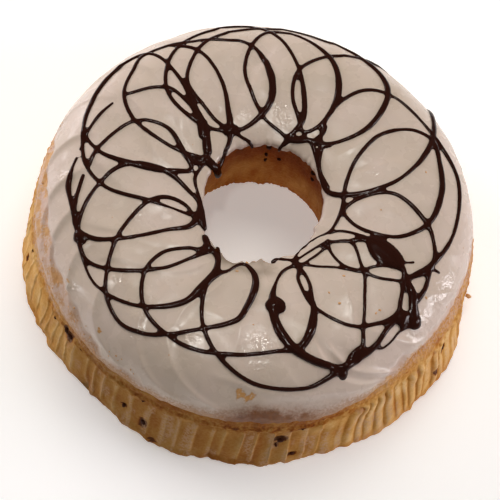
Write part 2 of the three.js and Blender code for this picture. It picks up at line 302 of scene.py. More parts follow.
# Shoulder under the icing's edge at some angles: how much the film covers, where it starts, and how it rises
SHOULDER_COVER, SHOULDER_START, SHOULDER_RISE = 1, 2, 3
SHOULDER = [
    [0, 0.9, 33.5, 3.5], [172, 0.9, 33.5, 3.5], [180, 1, 33.5, 3.5], [215, 1, 33.5, 3.5],
    [232, 0.5, 33.5, 3.5], [255, 0.08, 33.5, 3.5], [290, 0.08, 33.5, 3.5], [308, 0.8, 38, 9],
    [335, 0.8, 38, 9], [348, 0.9, 34, 6], [360, 0.9, 33.5, 3.5],
]
SHOULDER_WANDER = [(2, (9, 9, 6), 23)]

# Where film and crust lie in patches
PATCHES = [[0, 0], [165, 0], [178, 1], [225, 1], [240, 0], [360, 0]]
PATCH_NOISE = [(1, (4.5, 4.5, 5), 42)]
PATCH_BARE = 0.6
PATCH_SPONGE = 1.2
PATCH_LEAST = 0.2

# Smears of icing on the flutes
SMEARS = [[0, 0.4], [190, 0.12], [225, 0.25], [245, 0.7], [300, 0.6], [330, 0.25], [360, 0.4]]
SMEAR_NOISE = [(1, (3, 3, 9), 26)]
SMEAR_RISE = (0.05, 0.4)
SMEAR_ON_CREST = 0.5
SMEAR_CREST_START = 0.3

# Painted shade: how much darker the band is painted at the front, which faces away from the lights
FRONT_SHADE = [[0, 0.15], [215, 0.1], [240, 1], [288, 1], [306, 0.3], [335, 0.05], [360, 0.15]]
FRONT_SHADE_FADE = (38, 44)

# Painted shade: how gray the icing on the near rim is painted, where it curves down into the hole away from
# the lights
RIM_SHADE = [[0, 0], [232, 0], [248, 1], [284, 1], [296, 0], [360, 0]]
RIM_SHADE_FADE = (34, 41)
RIM_SHADE_WHOLE = 0.8
RIM_SHADE_BROKEN = [(0.6, 4, 50)]

# Spots where the icing is scraped thin: angle, reach, and size
THIN_SPOTS = [
    [236, 101.8, 1], [276.8, 99.6, 2.5], [279, 100.4, 2], [220, 100.6, 0.9], [258.2, 102.1, 0.8],
    [316, 105, 1],
]
SPOT_LENGTH = 1.7
SPOT_RAGGED = [(0.8, 2, 35)]
SPOT_EDGE = (0.3, 1)
SPOT_THIN = 0.8

# How far the icing hangs into the hole, at some angles
RIM_HANGS = [
    [0, 1.5], [8, 1.3], [22, 0.4], [150, 0.2], [168, 1.2], [178, 1.5], [186, 2.2], [192, 2], [204, 1.7],
    [212, 1.6], [218, 0.6], [222, -0.9], [234, -0.9], [240, -0.6], [246, -1.6], [252, -2.3],
    [258, -1.6], [264, 0.6], [270, -0.2], [276, 1.2], [282, 2.9], [288, 0.6], [294, 0.1], [300, 2.3],
    [306, 2.8], [312, 1.4], [318, 0.9], [324, 0.6], [330, 1.2], [336, 1.9], [342, 2.2], [348, 2.6],
    [354, 1.8], [360, 1.5],
]

# How far the foot of the hole's wall stands back, at some angles
FOOT_SHIFTS = [
    [0, 0], [40, 0.7], [75, 1], [86, 0], [92, -1.5], [104, -1.1], [125, -0.5], [150, -1], [200, 0],
    [360, 0],
]

# Piped line: usual width, height for that width, the most height, how far it is sunk, and its fillets
LINE_WIDTH = 2.2
LINE_FILLET = 0.4
LINE_RISE = 0.4
LINE_RISE_MOST = 1.8
LINE_SUNK = 0.7
LINE_STEP = 0.7
LINE_SIDES = 12
LINE_VOXEL = 0.5
LINE_SMOOTHING = 3
LINE_SMOOTHNESS = 0.5
LINE_THINNING = 0.5
LINE_BLUNT = 0.15
LINE_UNEVEN = [(0.1, 5, 41)]
POOL_DETAIL = 4
POOL_UNEVEN = 0.16
POOL_LUMPS = 0.8
DRIP_STEPS = 24
DRIP_TURN = (52.5, 58.5)

# How far the whole route is drawn out, at some angles, near the dome's side and near the hole
DRAWN_SIDE, DRAWN_HOLE = 1, 2
DRAWN_BETWEEN = (45, 62)
DRAWN = [
    [0, -0.7, 0], [150, -0.6, 0], [185, -0.3, -0.3], [215, 0, -0.3], [250, 0.1, 0.6], [285, 0.2, 0.6],
    [295, 0, 0], [340, 0, 0], [350, -0.4, 0], [360, -0.7, 0],
]

# Route of the piped line: angle round the ring in degrees, reach, and width where it isn't the usual
ROUTES = [
    [[159.6, 86, 1.3], [166, 88], [172.6, 88.9, 1.8], [180.3, 89.2, 1.6]],
    [[182.5, 89.5, 1.6], [185.5, 90.4, 1.8], [188.9, 91, 2.6], [192.3, 91.5, 3.4], [195.7, 90.9, 2.6],
     [199.2, 90.2, 2], [209, 89.6, 2], [218, 91.2, 1.4], [227, 91.4, 1.6], [240, 83], [251, 69, 3.4],
     [253.6, 57, 4], [254.8, 48, 3.2], [252, 41.6, 2.6], [247, 39.4, 3], [241.5, 40.4, 3],
     [238.6, 43.9, 2.2], [235, 46.3, 2], [229, 58], [232, 71], [242, 83], [257, 87], [271, 85],
     [288, 81.6, 2.2], [291.7, 81.6, 3], [294.4, 80.1, 4], [298.5, 74.2, 4.4], [302.4, 65, 3.4],
     [303.4, 60, 2.8], [306.4, 51, 2], [306.4, 44.6], [304.6, 40.6, 2.4], [300, 40.4, 2],
     [294.2, 42.2, 2], [289.1, 47.4, 1.8], [286, 55.6, 3.6], [285.9, 64.5, 4.4], [287.4, 71.9, 4.8],
     [289.6, 77.6, 4.8], [291.5, 81.2, 4.6], [297.1, 88.1, 3.8], [304.4, 93.8, 4], [309.6, 92.2, 4.6],
     [313.8, 92, 3.6], [316.8, 91.1, 3], [319.3, 89.7, 2.8], [322, 88.4, 2.8], [324.8, 88, 2.8],
     [327.5, 87.4, 2.8], [330.7, 83.9, 2.4], [333.8, 81.6], [337.9, 78.9, 2.4], [341.5, 76.1, 3],
     [342.4, 70.8, 4], [344, 62.2, 5], [346.2, 54.1, 3], [346.4, 49.6, 2], [346.1, 45.9, 1.8],
     [345.1, 42.4, 1.8], [342.7, 39.4, 1.7], [339.1, 37.2, 1.7]],
    [[147, 39, 6], [141, 50, 3], [140, 61], [143, 73], [156, 85, 1.8]],
    [[141, 45, 4], [138, 58, 3], [136, 74], [138, 97], [149, 100, 3.2], [162, 96, 2.8], [173, 91],
     [180, 79], [182, 62, 3.4], [181, 47, 3], [174, 36, 2.6], [164, 43, 3], [157, 57], [163, 72],
     [178.4, 81], [185.6, 83.2, 2.4], [187.2, 83.8, 2]],
    [[188.6, 84.8, 2], [191.1, 85.5], [194.5, 86.7], [197.9, 87.9], [206, 89.6, 2.2], [212, 84, 2.6],
     [216, 71], [219, 50], [222, 40, 3], [215, 33, 4], [203, 31], [190, 37, 2.6], [181, 48, 3.2],
     [183, 66, 2.8], [193, 78], [206, 88], [217, 90, 2.2], [224, 83], [235, 63], [239.6, 50.1, 2],
     [240.9, 47.2, 2.2], [242.2, 44.1, 2.6], [243.6, 40.9, 3.2], [240.9, 38.7, 4], [236.4, 36.9, 4.4],
     [232, 35.4, 3.4]],
    [[229.2, 33.4, 2.4], [221, 32.6, 4.6], [210, 31, 4.4], [202, 30], [180, 33], [166, 32],
     [156, 33, 5]],
    [[166, 95, 2.4], [176, 90], [186, 84], [194, 73], [201, 54], [207, 44, 1.4], [213, 36, 2],
     [206, 37], [199, 46, 2.6], [202, 56], [214, 72], [224, 84], [231, 91], [240, 94], [249, 89],
     [261, 77], [272, 68, 3], [274.7, 60.9, 3.4], [276.5, 55.3, 3.8], [277.6, 50.6, 3.8],
     [277.8, 46.4, 3.4], [276.6, 42.6, 3], [274, 39.8, 2.8], [270.4, 37.8, 2.6], [266.3, 38.6, 2],
     [263.3, 41.5, 1.8], [261.2, 44.5, 1.8], [258, 47.4], [255, 57], [260, 74], [268, 86], [279, 95],
     [293, 98], [301, 95.5, 3], [306, 93.6, 3.4], [309.7, 91, 3.6], [312.5, 88.7, 2.6],
     [314.5, 84.1, 2.2], [317.1, 79.5, 1.8], [320.1, 75, 1.8], [323.4, 70.4, 1.8], [326.5, 67, 1.8],
     [329.8, 63.5, 2], [331.3, 61.5], [333.9, 57.6, 1.8], [337.1, 53.9, 1.8], [339.9, 50.4, 2],
     [340.4, 47.9, 2], [338.6, 45, 2], [335.8, 42.3, 1.8], [332.7, 39.4, 2], [327, 37.7, 1.5],
     [320.5, 37, 1.4], [314.9, 37, 1.4], [309.1, 37.5, 1.5], [304.6, 38.2, 2]],
    [[304.6, 39.4, 2], [309.9, 40.9, 1.6], [315.3, 40.6, 1.5], [320.3, 40.6, 1.5], [326, 40.6, 1.6],
     [330.3, 40.9, 2], [328.2, 44.4, 1.7], [327, 48.4, 1.7], [327.1, 52.2, 1.7], [327.7, 54.7, 1.7],
     [329.2, 58.1, 1.8], [330.9, 61.8], [331.9, 66.9, 1.8], [333.3, 70.7, 1.8], [335, 74.2, 1.8],
     [336.9, 77.5, 2], [338.6, 80.1, 3]],
    [[304.2, 39.4, 2], [311.3, 42.5, 1.6], [316.9, 46.4, 1.5], [321.9, 50.3, 1.5], [326.8, 55.5, 1.6],
     [330.7, 61.3, 2], [334.1, 62.9, 1.8], [336.5, 65.3, 1.7], [338.7, 68.5, 1.8], [340.4, 72.1, 2],
     [340.9, 75.4, 2.4]],
    [[306, 41.4], [304, 44.4, 2], [302, 47.2, 1.9], [301.3, 52.7, 2], [301.8, 59.7], [303.3, 65.1],
     [305.1, 67.8, 2], [307, 70.9, 1.9], [310.6, 76.8, 1.9], [313.2, 79.8, 2], [315.8, 81.8],
     [319.4, 83.6], [322.6, 85.4, 2.4], [326, 86.4, 2.6], [328.6, 85.8, 2.4], [333.8, 81.6],
     [337.9, 78.9, 2.6], [341.7, 82.1, 3], [343.9, 84.6, 3], [346.7, 86.9, 3], [350.3, 87.5, 2.6],
     [355.1, 85.4], [2, 80, 2.6], [13, 64], [11, 48], [0, 40], [351, 51], [353, 68], [2, 81, 2.8],
     [15, 88, 3.6], [25, 90.6, 3.2], [34, 92.4, 2.6], [39, 85], [42, 69], [36, 51], [21, 41], [6, 39],
     [350, 38, 2], [341, 37, 1.6], [333, 34.2, 1.4], [326, 33, 1.2], [318, 33, 1.2], [310, 34.8, 1.3],
     [304.9, 37.6, 1.8]],
    [[339, 80, 3], [348, 87, 3], [1, 94], [20, 99, 3], [31, 96, 3], [41, 93], [54, 88], [61, 79],
     [65, 65], [63, 48], [56, 41, 2.6], [49, 51], [48, 67, 3], [55, 88, 3.4], [64, 97, 3.4], [80, 101],
     [96, 101], [110, 96], [119, 91], [126, 83], [134, 70], [134, 54], [129, 40], [120, 36],
     [106, 40, 3], [97, 51, 3.8], [98, 66, 4.2], [105, 84], [118, 91], [126, 93], [131, 96], [140, 97],
     [145, 93], [155, 85], [162, 72], [165, 56], [164, 42], [160, 33, 3]],
    [[80, 34], [65, 38], [50, 34], [33, 31], [16, 33, 3], [13, 43, 3], [20, 68], [33, 91, 3.4],
     [46, 107, 2.6], [51, 109, 2], [59, 109, 2], [65, 106.2], [70, 98.6], [79, 87], [87, 71], [86, 56],
     [79, 46], [71, 40], [65, 48], [68, 69, 3.6], [78, 87, 3], [90, 96], [99, 96], [105, 85], [109, 69],
     [107, 54], [102, 43.5, 2.2], [99.6, 40.8, 2], [93.7, 37.8, 2], [87.2, 35.9, 2], [81, 34.8],
     [75.5, 44, 3], [80, 57, 3], [88, 75], [98, 95], [106, 102], [118, 99], [129, 92], [136, 84],
     [143, 72], [145, 60], [142, 47, 3], [135, 40], [127, 38, 3.4], [122, 48, 3], [120, 65], [124, 85],
     [131, 96]],
    [[329, 95.4, 3], [328.1, 94.3, 2], [326, 93.2, 1.5], [324.2, 92.8, 1.4], [321.8, 93.6, 1.3],
     [319.2, 94.1, 1.3], [317.3, 93.9, 1.3], [315.6, 92.4, 1.6]],
    [[346.3, 87.1, 3], [343, 88.3, 2.6], [340, 89.1, 2.6], [337.6, 89.2, 2.8], [334.5, 89, 3.6]],
    [[139, 48, 3.6], [142, 42.4, 4], [146.5, 38.3, 4.4], [151.7, 34.6, 5], [155, 32.2, 5]],
    [[125.8, 37.1, 4], [128, 34.6, 3.2], [131.4, 31.9, 2.8], [137, 29.6, 2.6]],
    [[125.4, 35.9, 2.2], [121.3, 33.5, 1.8], [116.7, 31.2, 1.8], [111, 29.9, 1.4]],
    [[76.6, 34.4, 2.4], [78.4, 32.4, 2], [80.5, 30.7, 1.8], [82.6, 30, 1.4]],
    [[167.1, 37.5, 2.4], [166.4, 33.6, 2.4], [161.9, 31.5, 2.6], [156, 29.8, 3]],
    [[62.4, 49.8], [60.2, 45.2], [60.4, 40.6, 2.4], [54.3, 39.4, 2.4], [49.8, 35.9, 2.6],
     [44.2, 33.1, 2.6], [36.7, 31.7, 2.6], [27.5, 31.8, 2.6], [19.7, 32.8, 2.6]],
    [[81.2, 34.6, 2.4], [77.4, 33.9, 3], [69.6, 35.4, 2.8], [63.6, 38.3, 2.6], [58.5, 39.8, 2.6],
     [53.3, 40.4, 2.4], [50.6, 44.2]],
    [[245, 34, 2.6], [249.8, 38.1, 2.8], [252.7, 41.8, 2.8], [254.7, 45.5, 3], [255, 48.9, 3.4]],
    [[289.6, 35.8, 1.8], [290.8, 34.5, 2.2], [294, 33.9, 2.4], [298, 35.2, 2.2], [303.4, 37],
     [306.5, 39]],
    [[343.5, 72.8, 1.6], [344.7, 76.3, 1.2], [346.2, 79.6, 1.5]],
    [[338.6, 80.1, 4], [337, 83.1, 4.2], [335.6, 86, 4.6], [333.2, 89, 5], [331.7, 91.4, 6],
     [330.5, 94, 6.4], [329.2, 95.6, 5]],
    [[340.2, 47.2, 2], [343, 50, 2.4], [345.6, 54.5, 3]],
    [[345, 86, 2.4], [346.9, 88.4, 1.8], [347.4, 92.6, 1.3]],
]

# Pools where the line was held still: angle, reach, length, width, and turn of the length from the tangent
POOLS = [
    [343.2, 64.6, 22, 11.5, 76], [330.2, 94.2, 9, 7.5, 60], [327.6, 90, 8, 5.5, 40],
    [309.5, 91.4, 11, 7, 20], [126.5, 37.5, 6, 5, 0], [308, 92.6, 8, 5.5, 0], [287, 59.6, 10, 9, 0],
    [242.6, 39.6, 7, 4.4, 0], [210.2, 88.9, 8.5, 6, 20], [332.5, 39.8, 4.5, 3.4, 0],
    [304, 96, 6, 5, 60], [126, 37, 8, 5, 0],
]

# Drips over the rim of the hole: angle, reach, height and width along each
DRIPS = [
    [[158, 34, 59.6, 4.6], [157, 32, 58.6, 5], [156.6, 29.8, 57.4, 5], [155.6, 28.2, 55.4, 5],
     [155, 27.2, 53, 5], [154.8, 26.8, 51, 4.6], [154.8, 26.6, 49.6, 3.6]],
    [[136, 31.6, 58, 2.6], [141, 30.2, 57, 2.6], [145, 29, 55.4, 2.6], [150, 27.8, 54.6, 2.6],
     [153, 27.2, 53.6, 2.4]],
    [[82, 33, 58.6, 2.2], [84, 30.6, 57.6, 2], [85.4, 29.2, 56, 2], [86.2, 28.8, 53.4, 1.6]],
    [[119, 32.8, 58.4, 2], [115.5, 30.6, 57.4, 2], [113, 29.2, 56, 1.8], [112.2, 28.9, 54, 1.4]],
]

# Dark chips in the sponge: angle, height, width and length of each
BAND_CHIPS = [
    [201.6, 18, 1.8, 3], [202.9, 29.5, 1, 2.4], [227.2, 32.7, 2, 4.2], [228.8, 32, 2.6, 3.6],
    [222.1, 28.8, 1, 1.8], [233.4, 33.6, 0.9, 1.2], [248.7, 17.5, 1.2, 3], [253.3, 32, 1.6, 1.4],
    [254.6, 13, 2.2, 4.2], [257.9, 4.4, 1.8, 1.6], [288.2, 23, 3.2, 2.6], [287.2, 18.6, 1, 2.4],
    [291.6, 8.9, 2.4, 1.6], [293.1, 32.4, 2.2, 1.2], [337.4, 26.8, 2.4, 2.4], [333.3, 18.5, 1.8, 3.6],
    [330.6, 16, 1, 1], [12, 22, 2, 2.6], [38, 12, 1.4, 2.2], [55, 29, 2.4, 1.8], [83, 18, 2.2, 3.2],
    [101, 27, 1.2, 1.6], [118, 9, 1.8, 1.6], [141, 24, 2.6, 2.2], [163, 14, 1.4, 2.6],
    [182, 30, 1.2, 1.6],
]
HOLE_CHIPS = [
    [95.5, 48.6, 2.4, 3.8], [96, 38.5, 1.6, 2.6], [95.5, 31.5, 1.3, 3], [84.5, 36.5, 2.1, 2.4],
    [50, 47, 2.6, 2.4], [50, 40, 2.4, 2.4], [18, 51, 1.2, 1.6], [262, 34, 1.6, 1.8], [300, 20, 1.4, 2],
]
CHIP_THICKNESS = 1.8
CHIP_TILT = 0.05
CHIP_IN_BAND = 0.55
CHIP_IN_WALL = 0.35
CHIP_DETAIL = 3
CHIP_ROUGHNESS = 0.22
DENT_BAND_REACH = 112
DENT_WALL_REACH = 34
DENT_WIDTH = 0.9
DENT_LENGTH = 0.8
DENT_DEPTH = 0.45

# Crumbs in the icing: angle and reach of those that show, and how many lie elsewhere and by the edge
CRUMB_PLACES = [
    [323.7, 80.1], [338, 91.8], [5.8, 83.2], [266, 43.5], [322, 80], [312, 60], [313, 67], [323, 57],
    [4, 57], [22, 81], [276, 35], [281, 37], [284, 34.5], [271, 36],
]
CRUMBS_ON_TOP = 14
CRUMBS_AT_EDGE = 60
TOP_CRUMB_REACHES = (40, 104)
EDGE_CRUMB_ANGLES = (168, 250)
EDGE_CRUMB_REACHES = (103.5, 108.2)
CRUMB_WIDTHS = (0.7, 1.2)
SMALL_CRUMB_WIDTHS = (0.35, 0.8)
CRUMB_FORM = np.array([1.4, 1, 0.45])
LUMP_DETAIL = 2
LUMP_ROUGHNESS = 0.35
LUMP_LEAN = 0.3

# Crumb that clings to the foot: angle, height, and its length, width and thickness
KNOB_TURN, KNOB_HEIGHT = 359.0, 8.0
KNOB_SIZES = [2.6, 2.4, 2.6]

# Seeds of the random draws
FLUTE_SEED = 3
INNER_STROKE_SEED = 11
CHIP_SEED = 51
CRUMB_SEED = 61
CRUMB_FORM_SEED = 62

# Colours from 0 to 255, most of them as two that are mixed
SPONGE_BROWNS = [
    (0, (232, 194, 136)), (0.2, (216, 167, 96)), (0.42, (198, 141, 68)),
    (0.62, (172, 104, 34)), (0.8, (148, 74, 8)), (1, (84, 38, 6)),
]
# Painted shade: the brown that darkens the band's front, which faces away from the lights
FRONT_SHADE_BROWN = (96, 66, 40)
# Film on the sponge as lit, and as darkened by the painted shade at the front
SPONGE_FILMS_LIT_AND_SHADED = [(200, 164, 140), (186, 150, 118)]
CREAMS = [(198, 181, 160), (219, 199, 187)]
GOLDS = [(188, 128, 58), (218, 174, 120)]
BURNT_BROWNS = [(84, 38, 2), (138, 78, 20)]
ICING_FILMS = [(202, 169, 149), (176, 136, 102)]
# Gray of the painted shade on the icing at the near rim
RIM_SHADE_GRAY = (146, 130, 112)
CHOCOLATE_BROWNS = [(36, 10, 3), (46, 16, 6)]
CHIP_BROWNS = [(34, 14, 8), (82, 42, 20)]
CRUMB_BROWNS = [(196, 136, 78), (222, 178, 126)]
FLOOR_WHITES = [(244, 243, 241), (248, 247, 246)]

# Strengths of the sponge's grain, patches, crust and painted front shade, and of the icing's speckles, gloss
# and puckers
GRAIN_STRENGTH = 0.34
PATCH_STRENGTH = 0.18
CRUST_STRENGTH = 0.9
FRONT_SHADE_STRENGTH = 0.42
SPECKLE_STRENGTH = 3.6
SPECKLE_LOST = 2.2
SPECKLE_MOST = 0.5
GLINT_GLOSS = 0.2
SMOOTHEST = 0.06
FILM_DULLNESS = 0.3
PUCKER_STRENGTH = 4.5

# Camera of the photo: its rise above the table, its tilt, its distance from its aim, and its lens
CAMERA_RISE = 63.116
CAMERA_ROLL = 13.130
CAMERA_DISTANCE = 606.05
CAMERA_AIM = (0.593, -15.937, 30.0)
CAMERA_LENS = 88.76
CAMERA_SENSOR = 36.0

# Lights: name, place in metres, size, power, colour, whether they make highlights, and whether they light
LIGHTS = [
    ("back_light", (0, 0.6, 1.1), 0.8, 7.2, (1, 0.975, 0.9), False, True),
    ("left_light", (-1.1, 0.55, 0.32), 0.6, 8.6, (0.95, 0.905, 1), False, True),
    ("right_light", (1.1, 0, 0.32), 0.6, 6, (0.94, 0.88, 1), False, True),
    ("left_window", (-1.05, 0.75, 0.22), 0.22, 1, (1, 0.97, 1), True, True),
    ("right_window", (1.08, 0.165, 0.345), 0.24, 2.6, (1, 0.96, 1), True, False),
    ("right_lamp", (1, -0.1, 0.56), 0.14, 1.2, (1, 0.97, 1), True, False),
    ("left_lamp", (-1, -0.4, 0.5), 0.08, 0.6, (1, 0.97, 1), True, False),
    ("far_lamp", (0, 0.22, 1.1), 0.08, 1.1, (1, 0.98, 0.93), True, False),
    ("near_lamp", (0, -0.18, 1.1), 0.05, 0.7, (1, 0.98, 0.93), True, False),
    ("lamp", (-0.1, -0.2, 1.1), 0.06, 0.9, (1, 0.97, 0.92), True, True),
]
LIGHT_AIM = (0, 0, 0.03)
SURROUND_COLOUR = (1, 0.98, 0.96, 1)
SURROUND_STRENGTH = 0.17
FLOOR_HALF = 3.0
FLOOR_DROP = 0.0002


def smooth_step(low, high, value):
    """Rises smoothly from 0 at low to 1 at high."""
    part = np.clip((value - low) / (high - low), 0, 1)
    return part * part * (3 - 2 * part)


def fade_in(span, value):
    """Rises smoothly from 0 to 1 over a span."""
    return smooth_step(*span, value)


def fade_out(span, value):
    """Falls smoothly from 1 to 0 over a span."""
    return 1 - smooth_step(*span, value)


def bell(across, along=0.0):
    """Falls from 1 in the middle to almost nothing at 2."""
    return np.exp(-across ** 2 - along ** 2)


def near(place, value):
    """Falls from 1 at a place, given with a width, to almost nothing at two widths from it."""
    middle, width = place
    return bell((value - middle) / width)


def unit(vectors):
    """Vectors brought to a length of 1."""
    return vectors / np.linalg.norm(vectors, axis=-1, keepdims=True)


def noise(points, size, seed):
    """Smooth noise from -1 to 1 at points in millimetres, with lumps of about the given size."""
    lattice = np.random.default_rng(seed).uniform(-1, 1, (NOISE_CELLS,) * 3)
    cell = points / np.asarray(size, float)
    low = np.floor(cell).astype(int)
    part = cell - low
    part = part * part * (3 - 2 * part)
    total = np.zeros(points.shape[:-1])
    for corner in np.ndindex(2, 2, 2):
        weight = np.prod(np.where(np.array(corner, bool), part, 1 - part), axis=-1)
        index = (low + np.array(corner)) % NOISE_CELLS
        total += weight * lattice[index[..., 0], index[..., 1], index[..., 2]]
    return total


def layers(points, figures):
    """Layers of noise added up, each given as its strength, size and seed."""
    return sum(strength * noise(points, size, seed) for strength, size, seed in figures)


def round_ring(angle, table, column=1):
    """A value that changes round the ring, from a table whose rows start with an angle in degrees."""
    rows = np.array(table, float)
    return np.interp(np.degrees(angle) % 360, rows[:, 0], rows[:, column])


def round_places(reach, angle, height=0.0):
    """Places of a round ring, in millimetres."""
    x = reach * np.cos(angle)
    return np.stack([x, reach * np.sin(angle), height + 0 * x], axis=-1)


def along_ring(angle, turned, reach):
    """How far an angle lies along the ring from an angle in degrees, in millimetres."""
    return np.radians((np.degrees(angle) - turned + 180) % 360 - 180) * reach


def hole_share(reach):
    """How far a reach lies from the crown to the rim, from 0 to 1."""
    return np.clip((CROWN_REACH - reach) / (CROWN_REACH - RIM_REACH), 0, 1)


def settle(reach, angle, height):
    """Place on this ring, whose hole is off the middle, of a point of a round ring."""
    share = hole_share(reach)
    x = reach * np.cos(angle) + HOLE_SHIFT_X * share
    y = reach * np.sin(angle) * (1 + (HOLE_LENGTH - 1) * share) + HOLE_SHIFT_Y * share
    return np.stack([x, y, height + 0 * x], axis=-1)


def unsettle(x, y):
    """Reach and angle on the round ring of a place on this one."""
    reach = np.hypot(x, y)
    for _ in range(SETTLE_PASSES):
        share = hole_share(reach)
        across = x - HOLE_SHIFT_X * share
        along = (y - HOLE_SHIFT_Y * share) / (1 + (HOLE_LENGTH - 1) * share)
        reach = np.hypot(across, along)
    return reach, np.arctan2(along, across)


def dome_height(reach, inset=0.0):
    """Height of the dome at a reach, inset from the icing's full form."""
    out = np.clip((reach - CROWN_REACH) / (DOME_REACH - inset - CROWN_REACH), 0, 1)
    outer = (1 - out ** OUTER_ROUNDNESS) ** (1 / OUTER_ROUNDNESS)
    inner = np.sqrt(1 - hole_share(reach) ** INNER_ROUNDNESS)
    outer_height = LEDGE_HEIGHT + (CROWN_HEIGHT - inset - LEDGE_HEIGHT) * outer
    inner_height = RIM_HEIGHT + (CROWN_HEIGHT - inset - RIM_HEIGHT) * inner
    return np.where(reach > CROWN_REACH, outer_height, inner_height)


def outer_dome(turn, inset, sunk):
    """Reach and height of the dome's outer side at a turn up from its ledge, inset and sunk."""
    out = np.maximum(np.cos(turn), 0) ** (2 / OUTER_ROUNDNESS)
    up = np.sin(turn) ** (2 / OUTER_ROUNDNESS)
    reach = CROWN_REACH + (DOME_REACH - inset - CROWN_REACH) * out
    return reach, LEDGE_HEIGHT + (CROWN_HEIGHT - sunk - LEDGE_HEIGHT) * up


def scoops(degrees, reach, crests):
    """Scoops side by side: each falls steeply behind a sharp crest and then rises gently to the next one."""
    edges = np.append(crests[:, 0], crests[0, 0] + 360)
    turned = (degrees - edges[0]) % 360 + edges[0]
    index = np.clip(np.searchsorted(edges, turned, side="right") - 1, 0, len(crests) - 1)
    width = np.diff(edges)[index]
    part = (turned - edges[index]) / width
    steep = np.minimum(STROKE_FALL / (np.radians(width) * reach), STROKE_FALL_MOST)
    fall = 1 - (1 - part / steep) ** 2
    rise = 1 - ((part - steep) / (1 - steep)) ** 2
    return -crests[index, 1] * np.where(part < steep, fall, rise)


def past_thick(reach, angle):
    """How far a place lies past the edge of the thick icing, in millimetres of reach."""
    rise = (round_ring(angle, THICK) - LEDGE_HEIGHT) / (CROWN_HEIGHT - LEDGE_HEIGHT)
    out = (1 - rise ** OUTER_ROUNDNESS) ** (1 / OUTER_ROUNDNESS)
    thick_reach = CROWN_REACH + (DOME_REACH - CROWN_REACH) * out
    return reach - thick_reach + layers(round_places(reach, angle), THICK_WANDER)


def outer_strokes(reach, degrees, places):
    """Depth of the spatula's strokes down the dome's side."""
    left = np.clip((STROKE_LIMIT - reach) / (STROKE_LIMIT - STROKE_START), *STROKE_LEFT)
    swept = degrees + STROKE_SWEEP * np.log(left) + layers(places, STROKE_WANDER)
    start = STROKE_START - STROKE_EARLIER + layers(places, STROKE_UNEVEN)
    lifted = STROKE_MIDDLE * np.interp(swept % 360, CRESTS[:, 0], CRESTS[:, 1], period=360)
    strokes = STROKE_DEPTH * (scoops(swept, reach, CRESTS) + lifted)
    strokes = strokes * smooth_step(start, start + STROKE_RISE, reach)
    return strokes * fade_out(STROKE_FADE, reach)


def inner_strokes(reach, degrees, places):
    """Depth of the spatula's strokes round the crown and toward the hole."""
    turns = np.arange(INNER_STROKES) * 360 / INNER_STROKES
    draw = np.random.default_rng(INNER_STROKE_SEED)
    depths = INNER_STROKE_DEPTH * draw.uniform(*INNER_STROKE_RANGE, INNER_STROKES)
    turned = degrees - INNER_STROKE_LEAN * (reach - INNER_STROKE_MIDDLE)
    turned = turned + layers(places, INNER_STROKE_WANDER)
    strokes = scoops(turned, reach, np.stack([turns, depths], axis=-1))
    return strokes * fade_in(INNER_STROKE_RISE, reach) * fade_out(INNER_STROKE_FADE, reach)


def icing_relief(reach, angle):
    """Height of the spatula's marks over the icing's full form."""
    degrees = np.degrees(angle)
    places = round_places(reach, angle)
    past_ridge = reach - round_ring(angle, RIDGE, RIDGE_REACH)
    ridge = RIDGE_RISE * bell(past_ridge / RIDGE_WIDTH)
    ridge = ridge - RIDGE_DROP * smooth_step(0, RIDGE_DROP_WIDTH, past_ridge)
    ridge = ridge * round_ring(angle, RIDGE, RIDGE_SHARE) * fade_out(RIDGE_FADE, reach)
    uneven = 1 + LUMPS_MORE * fade_out(LUMPS_MORE_FADE, reach)
    bumps = uneven * layers(places, ICING_LUMPS) * fade_in(LUMPS_RISE, reach)
    step = round_ring(angle, FILM, FILM_STEP) * fade_in(FILM_STEP_RISE, past_thick(reach, angle))
    strokes = outer_strokes(reach, degrees, places) + ridge + inner_strokes(reach, degrees, places)
    return strokes + bumps - step


def icing_height(x, y):
    """Height of the icing's top over a place in plan."""
    reach, angle = unsettle(x, y)
    hang = round_ring(angle, RIM_HANGS)
    drawn = reach + hang * fade_out(RIM_FADE, reach + hang)
    return dome_height(np.minimum(drawn, DOME_REACH - SURFACE_INSET)) + icing_relief(reach, angle)


def icing_surface(x, y):
    """Point and upward normal of the icing's top over a place in plan."""
    probe = SURFACE_PROBE
    slope_x = (icing_height(x + probe, y) - icing_height(x - probe, y)) / (2 * probe)
    slope_y = (icing_height(x, y + probe) - icing_height(x, y - probe)) / (2 * probe)
    normal = unit(np.stack([-slope_x, -slope_y, np.ones_like(slope_x)], axis=-1))
    return np.stack([x, y, icing_height(x, y)], axis=-1), normal


def add_object(name, data):
    """A new object in the scene."""
    made = bpy.data.objects.new(name, data)
    bpy.context.scene.collection.objects.link(made)
    return made


def mesh_object(name, points, faces):
    """A smooth-shaded object from points in millimetres and lists of faces."""
    mesh = bpy.data.meshes.new(name)
    mesh.from_pydata((np.asarray(points) * MM).tolist(), [], [list(map(int, f)) for f in faces])
    mesh.polygons.foreach_set("use_smooth", [True] * len(mesh.polygons))
    mesh.update()
    return add_object(name, mesh)


def joined(name, shapes):
    """One object of several shapes, each given as its points and faces."""
    points, faces, count = [], [], 0
    for shape_points, shape_faces in shapes:
        points.append(shape_points)
        faces += [[i + count for i in face] for face in shape_faces]
        count += len(shape_points)
    return mesh_object(name, np.concatenate(points), faces)


def ball(detail, radius):
    """Points and faces of a ball."""
    made = bmesh.new()
    bmesh.ops.create_icosphere(made, subdivisions=detail, radius=radius)
    corners = np.array([v.co for v in made.verts])
    faces = [[v.index for v in f.verts] for f in made.faces]
    made.free()
    return corners, faces


def ring_faces(rows, columns):
    """Quads of a closed ring whose points run row by row."""
    row, column = np.meshgrid(np.arange(rows), np.arange(columns), indexing="ij")
    next_row, next_column = (row + 1) % rows, (column + 1) % columns
    corners = [row * columns + column, row * columns + next_column]
    corners += [next_row * columns + next_column, next_row * columns + column]
    return np.stack(corners, axis=-1).reshape(-1, 4)


